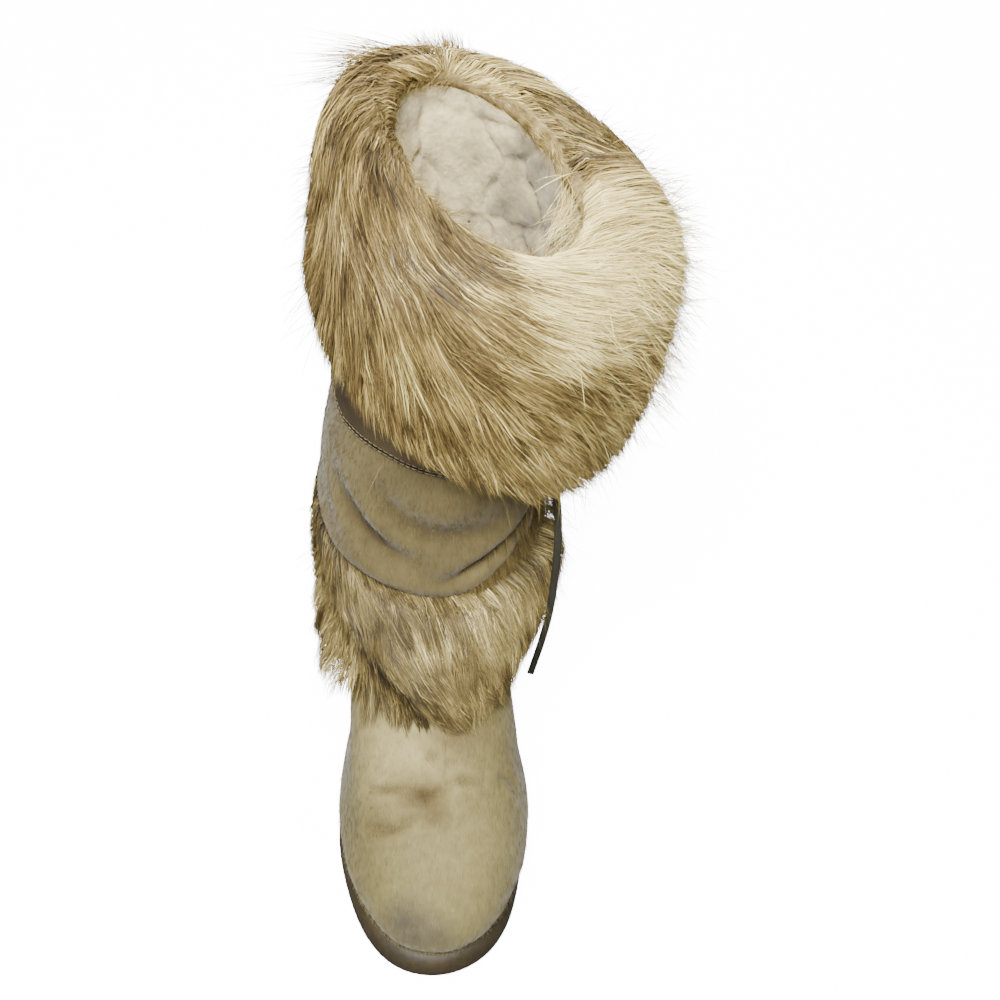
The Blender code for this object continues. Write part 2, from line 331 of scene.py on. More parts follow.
def mapRange(tree, value, first, last):
    # 0 at the first value, 1 at the last
    inputs = {"Value": value, "From Min": first, "From Max": last}
    return addNode(tree, "MapRange", inputs).outputs["Result"]


def partsOf(tree, vector):
    return addNode(tree, "SeparateXYZ", {"Vector": vector}).outputs


def spot(tree, coordinates, place, radius, wobble):
    # 1 inside a round spot, 0 outside, with a soft and wavy edge
    far = addNode(tree, "VectorMath", {0: coordinates, 1: place}, operation="DISTANCE").outputs["Value"]
    shaken = {0: wobble, 1: radius * 1.2, 2: far}
    far = addNode(tree, "Math", shaken, operation="MULTIPLY_ADD").outputs["Value"]
    radius = radius * 1.6
    soft = 0.6
    return mapRange(tree, far, radius * (1 + soft), radius * (1 - soft))


def bump(tree, shader, height, strength, distance):
    made = addNode(tree, "Bump", {"Strength": strength, "Distance": distance, "Height": height})
    tree.links.new(made.outputs["Normal"], shader.inputs["Normal"])


def strandParts(tree):
    # x is a strand's own tone, y how far along it
    return partsOf(tree, addNode(tree, "UVMap", {}, uv_map="strand").outputs["UV"])


def furMaterial(name, *tones):
    # colour across from a strand's own tone, and along from its root to its tip, darker at the root as
    # painted shade deep in the fur
    material, tree, shader = newMaterial(name, 0.5, specular=0.25)
    parts = strandParts(tree)
    colour = mix(tree, 1.0, ramp(tree, parts["X"], *tones), ramp(tree, parts["Y"], *rootShadeToTip), "MULTIPLY")
    tree.links.new(colour, shader.inputs["Base Color"])
    return material


# darker at the root, as painted shade deep in the fur
rootShadeToTip = (
    (0.0, (0.3, 0.28, 0.25)), (0.35, (0.75, 0.73, 0.7)), (0.75, (1.0, 1.0, 1.0)), (1.0, (1.0, 1.0, 1.0)),
)
collarHair = furMaterial(
    "collarHair",
    (0.0, (0.024, 0.016, 0.006)),
    (0.3, (0.088, 0.058, 0.019)),
    (0.55, (0.22, 0.152, 0.050)),
    (0.8, (0.53, 0.400, 0.130)),
    (1.0, (1.0, 0.86, 0.37)),
)
ankleHair = furMaterial(
    "ankleHair",
    (0.0, (0.022, 0.016, 0.006)),
    (0.3, (0.090, 0.065, 0.022)),
    (0.55, (0.215, 0.162, 0.056)),
    (0.8, (0.43, 0.342, 0.130)),
    (1.0, (0.85, 0.72, 0.36)),
)


def underFurMaterial(name, dark, light):
    material, tree, shader = newMaterial(name, 0.9, specular=0.1)
    streaks = noiseNode(tree, objectCoordinates(tree), 260, 3, stretch=(1, 1, 0.15))
    tree.links.new(ramp(tree, streaks, (0.3, dark), (0.7, light)), shader.inputs["Base Color"])
    bump(tree, shader, streaks, 0.6, 0.001)
    return material


# a dark body under the hair: painted shade deep in the fur
shadedUnderFur = underFurMaterial("shadedUnderFur", (0.038, 0.025, 0.009), (0.12, 0.082, 0.030))
rimFur = underFurMaterial("rimFur", (0.12, 0.085, 0.032), (0.34, 0.26, 0.115))

hideColours = {
    "base": (0.084, 0.066, 0.025), "light": (0.13, 0.103, 0.041), "footBase": (0.122, 0.101, 0.037),
    "footLight": (0.153, 0.129, 0.05), "paleSpot": (0.35, 0.292, 0.13), "stainAndShade": (0.072, 0.048, 0.017),
    # the last colour here darkens the hide in its creases: painted shade
    "scuff": (0.062, 0.054, 0.037), "creaseShadeTone": (0.34, 0.29, 0.22),
    # the heights between which the foot's tones take over
    "footFrom": (0.13, 0.085),
}


def hidePattern(tree):
    # the hide's own patches, stains, scuffs and pale spots, with painted shade in its creases and in one
    # spot on the vamp's outer side, the same for its skin and its nap
    coordinates = objectCoordinates(tree)
    cloud = noiseNode(tree, coordinates, 22, 5)
    fine = noiseNode(tree, coordinates, 210, 4, stretch=(1, 1, 0.3))
    patches = ramp(tree, cloud, (0.32, hideColours["base"]), (0.68, hideColours["light"]))
    low = mapRange(tree, partsOf(tree, coordinates)["Z"], *hideColours["footFrom"])
    footTone = ramp(tree, cloud, (0.3, hideColours["footBase"]), (0.7, hideColours["footLight"]))
    colour = mix(tree, low, patches, footTone)
    for place, radius, tone, most in stainsAndShade:
        edge = spot(tree, coordinates, place, radius, cloud)
        colour = mix(tree, times(tree, edge, most), colour, hideColours[tone])
    # painted shade in the creases, read from the hide's attribute
    creaseShade = addNode(tree, "Attribute", {}, attribute_name="paintedCreaseShade").outputs["Fac"]
    colour = mix(tree, creaseShade, colour, mix(tree, 1.0, colour, hideColours["creaseShadeTone"], "MULTIPLY"))
    grain = ramp(tree, fine, (0.25, (0.84, 0.83, 0.81)), (0.75, (1.12, 1.12, 1.12)))
    return mix(tree, 1.0, colour, grain, "MULTIPLY"), fine


# each spot: place, radius, tone and how strong; the wide faint one on the vamp's outer side, at x 0.036, is
# painted shade, the others are stains, scuffs and pale spots
stainsAndShade = (
    # the first two are paler spots on the tops of the vamp and the toe
    ((-0.012, -0.134, 0.087), 0.023, "paleSpot", 0.75), ((0.004, -0.185, 0.07), 0.022, "paleSpot", 0.25),
    ((-0.009, -0.157, 0.078), 0.0085, "stainAndShade", 0.85), ((-0.003, -0.166, 0.076), 0.0055, "stainAndShade", 0.6),
    ((-0.018, -0.15, 0.08), 0.006, "stainAndShade", 0.35), ((-0.03, -0.163, 0.068), 0.0085, "stainAndShade", 0.4),
    ((-0.022, -0.211, 0.051), 0.009, "scuff", 0.95), ((-0.017, -0.219, 0.046), 0.007, "scuff", 0.7),
    ((-0.006, -0.219, 0.049), 0.0075, "scuff", 0.85), ((0.01, -0.128, 0.088), 0.012, "stainAndShade", 0.7),
    ((0.036, -0.13, 0.072), 0.015, "stainAndShade", 0.25), ((-0.038, -0.19, 0.05), 0.01, "stainAndShade", 0.25),
)


def hideMaterial(name):
    material, tree, shader = newMaterial(name, 0.85, specular=0.15, sheen=0.15)
    colour, fine = hidePattern(tree)
    tree.links.new(colour, shader.inputs["Base Color"])
    bump(tree, shader, fine, 0.5, 0.0008)
    return material


def napMaterial(name):
    material, tree, shader = newMaterial(name, 0.6, specular=0.2)
    colour, _ = hidePattern(tree)
    tones = (0.0, (0.45, 0.42, 0.37)), (0.2, (0.78, 0.77, 0.75)), (1.0, (1.28, 1.27, 1.25))
    own = ramp(tree, strandParts(tree)["X"], *tones)
    tree.links.new(mix(tree, 1.0, colour, own, "MULTIPLY"), shader.inputs["Base Color"])
    return material


hideSkin = hideMaterial("hideSkin")
hideNap = napMaterial("hideNap")


def fleeceMaterial(name):
    material, tree, shader = newMaterial(name, 0.95, specular=0.1, sheen=0.3)
    place = objectCoordinates(tree)
    clumps = noiseNode(tree, place, 60, 6)
    fuzz = noiseNode(tree, place, 420, 3)
    base = ramp(tree, clumps, (0.32, (0.38, 0.32, 0.19)), (0.60, (0.80, 0.680, 0.360)))
    grain = ramp(tree, fuzz, (0.3, (0.85, 0.85, 0.85)), (0.7, (1.1, 1.1, 1.1)))
    # a greyer, darker patch on the lining's outer side: painted shade
    shaded = spot(tree, place, (0.050, 0.032, 0.305), 0.052, clumps)
    shadeGrey = mix(tree, 1.0, base, (0.36, 0.36, 0.40), "MULTIPLY")
    base = mix(tree, shaded, base, shadeGrey)
    tree.links.new(mix(tree, 1.0, base, grain, "MULTIPLY"), shader.inputs["Base Color"])
    bump(tree, shader, fuzz, 0.7, 0.001)
    return material


fleece = fleeceMaterial("fleece")


def leatherMaterial(name, dark, light, roughness):
    material, tree, shader = newMaterial(name, roughness, specular=0.35)
    place = objectCoordinates(tree)
    wear = noiseNode(tree, place, 45, 6)
    grain = addNode(tree, "TexVoronoi", {"Scale": 900, "Vector": place}).outputs["Distance"]
    tree.links.new(ramp(tree, wear, (0.3, dark), (0.7, light)), shader.inputs["Base Color"])
    bump(tree, shader, grain, 0.35, 0.0004)
    return material


brownLeather = leatherMaterial("brownLeather", (0.026, 0.018, 0.007), (0.060, 0.044, 0.020), 0.6)
darkLeather = leatherMaterial("darkLeather", (0.010, 0.010, 0.006), (0.028, 0.027, 0.018), 0.65)


def threadMaterial(name):
    material, tree, shader = newMaterial(name, 0.7)
    twist = noiseNode(tree, objectCoordinates(tree), 700, 2)
    colour = ramp(tree, twist, (0.3, (0.13, 0.10, 0.052)), (0.7, (0.23, 0.185, 0.10)))
    tree.links.new(colour, shader.inputs["Base Color"])
    return material


thread = threadMaterial("thread")


def rubberMaterial(name):
    material, tree, shader = newMaterial(name, 0.6, specular=0.35)
    place = objectCoordinates(tree)
    grime = noiseNode(tree, place, 35, 6)
    grit = noiseNode(tree, place, 320, 4)
    base = ramp(tree, grime, (0.3, (0.018, 0.013, 0.005)), (0.7, (0.038, 0.028, 0.011)))
    speck = ramp(tree, grit, (0.35, (0.8, 0.8, 0.8)), (0.65, (1.1, 1.1, 1.1)))
    tree.links.new(mix(tree, 1.0, base, speck, "MULTIPLY"), shader.inputs["Base Color"])
    bump(tree, shader, grit, 0.3, 0.0006)
    return material


gumRubber = rubberMaterial("gumRubber")
print("materials made")

# The lace's knot and end.
thong = {
    "width": 0.004, "thickness": 0.0016, "length": 0.1632,
    "route": ((0.0547, -0.0461, 0.2155), (0.0562, -0.0493, 0.2065), (0.0583, -0.0536, 0.1975),
        (0.0602, -0.0583, 0.186), (0.0616, -0.063, 0.171), (0.0626, -0.0678, 0.152),
        (0.0634, -0.0716, 0.132), (0.0634, -0.0748, 0.112), (0.0625, -0.0775, 0.093),
        (0.061, -0.08, 0.075), (0.0595, -0.082, 0.058)),
    "samples": 4, "sides": 10,
    # which way its flat side looks
    "flat": (-0.3, -0.9, 0.25),
}


def smoothRoute(route, samples=8):
    # points on a smooth curve through the route
    places = [Vector(place) for place in route]
    ends = [places[0] * 2 - places[1]] + places + [places[-1] * 2 - places[-2]]
    curve = []
    for i in range(1, len(ends) - 2):
        before, first, second, after = ends[i - 1 : i + 3]
        for t in (step / samples for step in range(samples)):
            once = (second - before) * t
            twice = (2 * before - 5 * first + 4 * second - after) * t**2
            thrice = (3 * first - before - 3 * second + after) * t**3
            curve.append(0.5 * (2 * first + once + twice + thrice))
    return curve + [places[-1]]


def strapMesh(name, route, strap):
    # a flat strap along a route: a rounded section, swept
    mesh = bmesh.new()
    rings = []
    for i, place in enumerate(route):
        ahead = route[min(i + 1, len(route) - 1)] - route[max(i - 1, 0)]
        ahead.normalize()
        across = ahead.cross(Vector(strap["flat"])).normalized()
        over = across.cross(ahead).normalized()
        ring = []
        for corner in range(strap["sides"]):
            turn = 2 * math.pi * corner / strap["sides"]
            side = math.copysign(abs(math.cos(turn)) ** 0.5, math.cos(turn)) * strap["width"] / 2
            rise = math.copysign(abs(math.sin(turn)) ** 0.7, math.sin(turn)) * strap["thickness"] / 2
            ring.append(mesh.verts.new(place + across * side + over * rise))
        rings.append(ring)
    joinRings(mesh, rings)
    faceOut(mesh)
    return meshOf(name, mesh)


def addLace():
    low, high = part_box("lace_knot")
    middle, half = (low + high) / 2, (high - low) / 2
    mesh = bmesh.new()
    bmesh.ops.create_icosphere(mesh, subdivisions=4, radius=1)
    for vert in mesh.verts:
        fold = 1 + 0.16 * math.sin(5 * vert.co.z + 3 * vert.co.y) + 0.08 * noise.noise(vert.co * 3)
        vert.co = middle + Vector(vert.co[i] * half[i] * 0.86 * fold for i in range(3))
    data = meshOf("thongKnot", mesh)
    knot = addPiece("thongKnot", data, "dark_leather", darkLeather, stands=("lace_knot",))
    route = smoothRoute(thong["route"], thong["samples"])
    data = strapMesh("thongEnd", route, thong)
    end = addPiece("thongEnd", data, "dark_leather", darkLeather, stands=("lace_end",))


addLace()
print("thong made")


def addSole():
    data = meshOf("rubberSole", nodeCopy("outsole", quads=False))
    data.set_sharp_from_angle(angle=math.radians(38))
    addPiece("rubberSole", data, "rubber", gumRubber, stands=("outsole",))
    nodes["insole"].data.materials.clear()
    nodes["insole"].data.materials.append(fleece)


addSole()
print("sole made")

# The haired hide.
hide = {
    "levels": 2, "waviness": 0.0006, "fineNear": 0.012, "wall": 0.004, "underBand": 0.012, "lipWidth": 0.55,
    # how wide and from what depth the painted shade along the creases reaches
    "shadeWidth": 0.9, "shadeDepth": 0.004,
    # the foot's sides swell over the rubber: how far, at what height, over what height, and up to where
    "footSwell": (0.0022, 0.036, 0.012, -0.2),
    # each crease: its places, depth, half width, how high its lips stand and how far off they are
    "creases": (
        # a roll that bulges over the top of the ankle fur, more at the inner side and the front
        (((-0.05, 0.02, 0.153), (-0.055, -0.01, 0.151), (-0.052, -0.035, 0.147), (-0.042, -0.052, 0.148),
            (-0.026, -0.064, 0.149), (-0.005, -0.07, 0.148), (0.016, -0.07, 0.147),
            (0.032, -0.062, 0.149)), -0.0062, 0.0105, 0, 0.01),
        (((-0.056, -0.03, 0.126), (-0.047, -0.049, 0.132), (-0.033, -0.062, 0.134),
            (-0.015, -0.071, 0.134), (0.006, -0.078, 0.134), (0.022, -0.076, 0.134)),
            0.003, 0.004, 0, 0.012),
        # the second crease, from the middle up to the outer side
        (((-0.012, -0.069, 0.151), (0.009, -0.07, 0.152), (0.022, -0.067, 0.158), (0.039, -0.057, 0.166),
            (0.056, -0.04, 0.175)), 0.0062, 0.0032, 0.4, 0.011),
        # soft folds above them
        (((-0.049, -0.036, 0.19), (-0.04, -0.048, 0.18), (-0.028, -0.06, 0.171), (-0.012, -0.066, 0.165)),
            0.0038, 0.0066, 0.5, 0.015),
        (((-0.03, -0.056, 0.202), (-0.014, -0.063, 0.191), (0.004, -0.066, 0.185), (0.024, -0.062, 0.186)),
            0.003, 0.0078, 0.5, 0.017),
        # a short upright dent at the outer end of the second crease
        (((0.043, -0.053, 0.166), (0.044, -0.054, 0.158), (0.043, -0.056, 0.15)),
            0.0026, 0.0022, 0.4, 0.008),
        # short creases where the toe bends
        (((-0.037, -0.148, 0.071), (-0.028, -0.15, 0.075), (-0.018, -0.152, 0.078)),
            0.0028, 0.0016, 0.5, 0.006),
        (((-0.016, -0.155, 0.079), (-0.006, -0.157, 0.08), (0.002, -0.155, 0.08)),
            0.0028, 0.003, 0.5, 0.008),
        (((0.004, -0.152, 0.08), (0.012, -0.15, 0.08), (0.022, -0.151, 0.077)), 0.0023, 0.002, 0.5, 0.006),
        (((-0.036, -0.166, 0.064), (-0.026, -0.169, 0.069), (-0.015, -0.167, 0.074)),
            0.0026, 0.0024, 0.5, 0.007),
        (((-0.012, -0.14, 0.083), (-0.003, -0.138, 0.085), (0.006, -0.139, 0.084)),
            0.0017, 0.002, 0.5, 0.006),
        (((0.034, -0.146, 0.071), (0.042, -0.148, 0.064)), 0.0017, 0.0022, 0.5, 0.006),
    ),
}


def lineOn(tree, places):
    return nearestOn(tree, np.array(smoothRoute(places)))


def pressCreases(mesh, creases, skin):
    # the wall's two faces go in and out together, by the way that the skin's outside faces
    points = pointsOf(mesh)
    normals = normalsOf(mesh)
    creaseShade = np.zeros(len(points))
    for places, depth, width, lip, lipOff in creases:
        line, away = lineOn(skin, places)
        near = np.linalg.norm(points - line.mean(axis=0), axis=1) < np.ptp(line, axis=0).max() + 0.05
        gaps = np.linalg.norm(points[near][:, None] - line[None], axis=2)
        nearest = gaps.argmin(axis=1)
        gap = gaps.min(axis=1)
        inner = (normals[near] * away[nearest]).sum(axis=1) < 0
        gap[inner] = np.sqrt(np.maximum(gap[inner] ** 2 - hide["wall"] ** 2, 0))
        ends = np.sin(np.pi * (nearest + 1) / (len(line) + 1)) ** 0.5
        trough = -depth * np.exp(-((gap / width) ** 2))
        lips = depth * lip * np.exp(-(((gap - lipOff) / (hide["lipWidth"] * lipOff)) ** 2))
        points[near] += away[nearest] * ((trough + lips) * ends)[:, None]
        # a crease that goes in gets painted shade along it
        if depth > 0:
            shaded = np.exp(-((gap / (hide["shadeWidth"] * width)) ** 2))
            amount = min(1, depth / hide["shadeDepth"]) * ends * shaded
            creaseShade[near] = np.maximum(creaseShade[near], amount)
    setPoints(mesh, points)
    return creaseShade


def refineNear(mesh, creases, reach):
    # finer faces beside the creases
    skin = BVHTree.FromBMesh(mesh)
    tree = kdTree(np.concatenate([lineOn(skin, crease[0])[0] for crease in creases]))
    mesh.normal_update()
    edges = set()
    for face in mesh.faces:
        if tree.find(face.calc_center_median())[2] < reach:
            edges.update(face.edges)
    bmesh.ops.subdivide_edges(mesh, edges=list(edges), cuts=1, use_grid_fill=True, smooth=1.0)


def swellFoot(mesh):
    points = pointsOf(mesh)
    most, middle, reach, toe = hide["footSwell"]
    swell = most * np.exp(-(((points[:, 2] - middle) / reach) ** 2))
    amount = swell * np.clip((points[:, 1] - toe) / 0.02, 0, 1)
    setPoints(mesh, points + normalsOf(mesh) * np.array([1, 1, 0]) * amount[:, None])


def addHide():
    mesh = smoothed(nodeCopy("upper"), hide["levels"])
    refineNear(mesh, hide["creases"], hide["fineNear"])
    points = pointsOf(mesh)
    wave = [noise.noise(place * 35) + 0.5 * noise.noise(place * 90) for place in map(Vector, points)]
    setPoints(mesh, points + normalsOf(mesh) * (hide["waviness"] * np.array(wave))[:, None])
    swellFoot(mesh)
    before = pointsOf(mesh)
    creaseShade = pressCreases(mesh, hide["creases"], BVHTree.FromBMesh(mesh))
    # nothing moves where the band lies on the hide
    free = (around(before, twoDegrees, bandHeights) - 0.002 - before[:, 2]) / hide["underBand"]
    setPoints(mesh, before + (pointsOf(mesh) - before) * np.clip(free, 0, 1)[:, None])
    bmesh.ops.triangulate(mesh, faces=[face for face in mesh.faces if len(face.verts) > 4])
    tree = BVHTree.FromBMesh(mesh)
    data = meshOf("haired_hide", mesh)
    # the painted shade in the creases, read by the hide's colour
    layer = data.attributes.new("paintedCreaseShade", "FLOAT", "POINT")
    layer.data.foreach_set("value", creaseShade.astype(np.float32))
    addPiece("hairedUpper", data, "haired_hide", hideSkin, stands=("upper",))
    return data, tree


hideData, hideTree = addHide()
print("hide made")

# The fleece lining.
lining = {
    "lowest": 0.11, "cuts": 3, "off": 0.0034, "cell": 0.034, "lump": 0.001, "lumpScale": 130, "bend": 0.011,
    "bendScale": 45, "seam": 0.11, "edge": 0.014, "trough": 0.0026, "lip": ((0.0, 0.0015), (0.001, 0.001)),
}


def addLining():
    mesh = nodeCopy("upper")

    def inside(face):
        middle = np.array(face.calc_center_median())
        return middle[2] > lining["lowest"] and np.array(face.normal) @ outwards(middle) < -0.3

    mesh.normal_update()
    keepFaces(mesh, inside)
    _, top = openings(mesh)
    for out, rise in lining["lip"]:
        top, moved = drawnOut(mesh, top)
        for vert in moved:
            moveOut(vert, out, rise)
    mesh = smoothed(mesh, 1)
    bmesh.ops.subdivide_edges(mesh, edges=mesh.edges, cuts=lining["cuts"], use_grid_fill=True)
    points = pointsOf(mesh)
    rises = []
    for place in map(Vector, points):
        bent = place + lining["bend"] * noise.noise_vector(place * lining["bendScale"])
        distances = noise.voronoi(bent / lining["cell"])[0]
        seam = math.exp(-(((distances[1] - distances[0]) / lining["seam"]) ** 2))
        lump = noise.fractal(place * lining["lumpScale"], 0.8, 2.0, 4)
        rises.append(lining["off"] + lining["lump"] * lump - lining["trough"] * seam)
    edge = around(points, twoDegrees, edgeHeights(points, np.max))
    rises = np.array(rises) * np.clip((edge - points[:, 2]) / lining["edge"], 0.15, 1)
    setPoints(mesh, points + normalsOf(mesh) * rises[:, None])
    addPiece("fleeceLining", meshOf("fleeceLining", mesh), "fleece", fleece)


addLining()
print("lining made")


# Sizes shared by all the hair: how far a row of a comb reaches, and how much the strands differ.
hair = {
    "combReach": 0.01, "lengths": (0.7, 1.15), "lifts": (0.3, 1.4), "widths": (0.55, 1.35),
    "strayLengths": (0.5, 1.2), "strayWidth": 0.00028, "strayWidths": (0.6, 1.3), "strayTones": 0.08,
}


def cornersOf(mesh, wanted):
    triangles = np.array([[loop.vert.co for loop in corners] for corners in mesh.calc_loop_triangles()])
    return triangles[wanted(triangles.mean(axis=1))]


def facingOf(triangles):
    first, second, third = triangles.transpose(1, 0, 2)
    return unit(np.cross(second - first, third - first))


def scatter(triangles, count, rng):
    first, second, third = triangles.transpose(1, 0, 2)
    area = np.linalg.norm(np.cross(second - first, third - first), axis=1)
    picked = rng.choice(len(area), count, p=area / area.sum())
    a, b = rng.random((2, count))
    folded = a + b > 1
    a[folded], b[folded] = 1 - a[folded], 1 - b[folded]
    first, second, third = first[picked], second[picked], third[picked]
    return first + a[:, None] * (second - first) + b[:, None] * (third - first)


def readComb(comb, points):
    # turn, lift, tone, length and stand at each point, from the rows of the comb around it
    rows = np.array(comb)
    angles = angleOf(points)
    turned = (angles[:, None] - rows[None, :, 0] + 180) % 360 - 180
    across = np.radians(turned) * shaftRadius
    up = points[:, None, 2] - rows[None, :, 1]
    near = 1 / (across**2 + up**2 + hair["combReach"] ** 2) ** 2
    near /= near.sum(axis=1, keepdims=True)
    turns = np.radians(rows[:, 2])
    turn = np.arctan2(near @ np.sin(turns), near @ np.cos(turns))
    return turn, near @ rows[:, 3], near @ rows[:, 4], near @ rows[:, 5], near @ rows[:, 6]


def combedDirection(points, normals, turn):
    # downhill, but outwards over a flat top and up over the inner side of a rim
    away = outwards(points)
    flat = np.clip(normals[:, 2:3], 0, 1)
    facing = (normals * away).sum(axis=1)[:, None]
    upness = np.clip(-3 * facing, 0, 1)
    fall = np.array([0, 0, 1.0]) * (2 * upness - 1) + (0.6 + 1.2 * flat) * away
    down = unit(fall - normals * (fall * normals).sum(axis=1)[:, None])
    return down * np.cos(turn)[:, None] + np.cross(normals, down) * np.sin(turn)[:, None]


def walk(tree, roots, lengths, steps, direction):
    # places and normals along each strand's way over the surface
    place, normal = nearestOn(tree, roots)
    places, normals = [place], [normal]
    for _ in range(steps):
        ahead = direction(place, normal)
        place, normal = nearestOn(tree, place + ahead * (lengths / steps)[:, None])
        places.append(place)
        normals.append(normal)
    return np.stack(places, 1), np.stack(normals, 1)


def gather(paths, leaders, strength, share):
    # each strand's tip leans to the nearest leading strand, so that the hair stands in locks
    tree = kdTree(paths[leaders, 0])
    own = np.array([leaders[tree.find(root)[1]] for root in paths[:, 0]])
    pull = (strength * share**1.3)[None, :, None]
    return paths + (paths[own] - paths) * pull, own


def heldIn(paths):
    # strands that would stand out too far are shortened
    roots = paths[:, :1]
    apart = paths[:, 1:] - roots
    low, high = np.array(cadBox) + np.array([[-1], [1]]) * farthest
    room = np.where(apart > 0, high - roots, low - roots)
    far = np.abs(apart) > 1e-5
    share = np.where(far, room / np.where(far, apart, 1), 1)
    return roots + (paths - roots) * np.clip(share.min(axis=(1, 2)), 0, 1)[:, None, None]


def ribbons(name, paths, faces, widths, tones, slot, material, first=0.0):
    paths = heldIn(paths)
    count, points = paths.shape[:2]
    steps = points - 1
    share = np.linspace(0, 1, points)
    ahead = unit(np.gradient(paths, axis=1))
    side = unit(np.cross(ahead, faces))
    thin = (0.7 + 0.6 * share) * np.minimum(1, 1.6 * (1 - share) + 0.15)
    half = (widths[:, None] / 2 * thin)[:, :-1, None]
    both = np.stack([paths[:, :-1] - side[:, :-1] * half, paths[:, :-1] + side[:, :-1] * half], axis=2)
    own = 2 * steps + 1
    places = np.concatenate([both.reshape(count, 2 * steps, 3), paths[:, -1:]], axis=1)
    corners = []
    for k in range(steps - 1):
        corners += [2 * k, 2 * k + 1, 2 * k + 3, 2 * k + 2]
    corners += [own - 3, own - 2, own - 1]
    corners = (np.array(corners)[None] + own * np.arange(count)[:, None]).ravel()
    starts = [4 * k for k in range(steps)]
    starts = (np.array(starts)[None] + (4 * steps - 1) * np.arange(count)[:, None]).ravel()
    data = bpy.data.meshes.new(name)
    data.vertices.add(count * own)
    data.vertices.foreach_set("co", places.astype(np.float32).ravel())
    data.loops.add(len(corners))
    data.loops.foreach_set("vertex_index", corners.astype(np.int32))
    data.polygons.add(len(starts))
    data.polygons.foreach_set("loop_start", starts.astype(np.int32))
    data.update(calc_edges=True)
    data.shade_smooth()
    # a strand's tone across the map, and the way from "first" at its root to 1 at its tip
    along = np.concatenate([np.repeat(share[:-1], 2), [1.0]])
    first = np.repeat(np.broadcast_to(first, count), own)
    strand = np.stack([np.repeat(tones, own), first + (1 - first) * np.tile(along, count)], axis=1)
    layer = data.uv_layers.new(name="strand")
    layer.uv.foreach_set("vector", strand[corners].astype(np.float32).ravel())
    return addPiece(name, data, slot, material)


def waveAt(points, scale, seed):
    shift = Vector((seed, 2 * seed, -seed))
    return np.array([noise.noise(Vector(point) * scale + shift) for point in points])


def hemNoise(settings, paths, rng):
    # how unevenly the tips end
    over = rng.uniform(*settings["hemLoose"], len(paths))
    for most, scale, seed in settings["hemWaves"]:
        over = over + most * waveAt(paths[:, -1], scale, seed)
    return over


def growFur(settings, tree, triangles, rng, edge=None):
    # long hair: walked over the fur's outer form, gathered in locks and lifted off it towards the tips
    # near an edge that shows, it springs from the surface itself
    steps = settings["steps"]
    share = np.linspace(0, 1, steps + 1)
    roots = scatter(triangles, settings["count"], rng)
    turn, lift, tone, reach, stand = readComb(settings["comb"], roots)
    count = len(roots)
    lengths = settings["length"] * reach * rng.uniform(*hair["lengths"], count)
    lengths *= 1 + settings["ragged"] * waveAt(roots, settings["raggedScale"], 5)
    stray = rng.normal(0, settings["scatter"], count)
    sway = waveAt(roots, settings["swayScale"], 0) * settings["sway"]

    def direction(place, normal):
        return combedDirection(place, normal, readComb(settings["comb"], place)[0] + stray + sway)

    paths, normals = walk(tree, roots, lengths, steps, direction)
    tone = readComb(settings["comb"], paths[:, steps // 2 + 1])[2]
    tones = tone + rng.normal(0, settings["toneSpread"], count)
    tones += settings["patchTone"] * waveAt(roots, settings["patchScale"], 9)
    for locks, strength, lockTone in settings["locks"]:
        leaders = rng.choice(count, locks, replace=False)
        paths, own = gather(paths, leaders, strength, share)
        tones += rng.normal(0, lockTone, count)[own]
    layer = rng.random(count) ** 0.8
    # deeper strands are darker: partly the darker underfur, partly painted shade between the layers
    tones -= settings["deepShadeTone"] * layer
    deep = np.ones(count)
    if edge is not None:
        deep = np.clip(np.array([edge.find(root)[2] for root in roots]) / settings["edgeReach"], 0, 1)
    rootDepth = -settings["rootDepth"] * (1 - share) ** 2
    rise = (lift * lengths)[:, None] * share[None] ** 1.6 * rng.uniform(*hair["lifts"], count)[:, None]
    top = np.clip(normals[:, 0, 2] * 1.6, 0, 1)[:, None]
    height = rootDepth[None] - (layer * settings["depth"])[:, None]
    height = height * (1 - 0.85 * top) * deep[:, None] + rise
    arch = np.sin(math.pi * np.clip(share, 0, 0.6) / 1.2)[None]
    height = height + settings["proud"] * (1 - top * 0.6) * arch
    height = height + (stand * deep)[:, None] * np.minimum(1, 2 * share)[None]
    paths = paths + unit(normals) * height[..., None]
    side = unit(np.cross(np.gradient(paths, axis=1), normals))
    phase = rng.uniform(0, 2 * math.pi, count)
    wave = settings["wave"] * np.sin(phase[:, None] + 5 * share[None]) * share[None]
    paths = paths + side * wave[..., None]
    roll = rng.normal(0, settings["roll"], count)[:, None, None]
    faces = unit(normals * np.cos(roll) + side * np.sin(roll))
    widths = settings["width"] * rng.uniform(*hair["widths"], count)
    return paths, faces, widths, np.clip(tones, 0.01, 0.99), roots


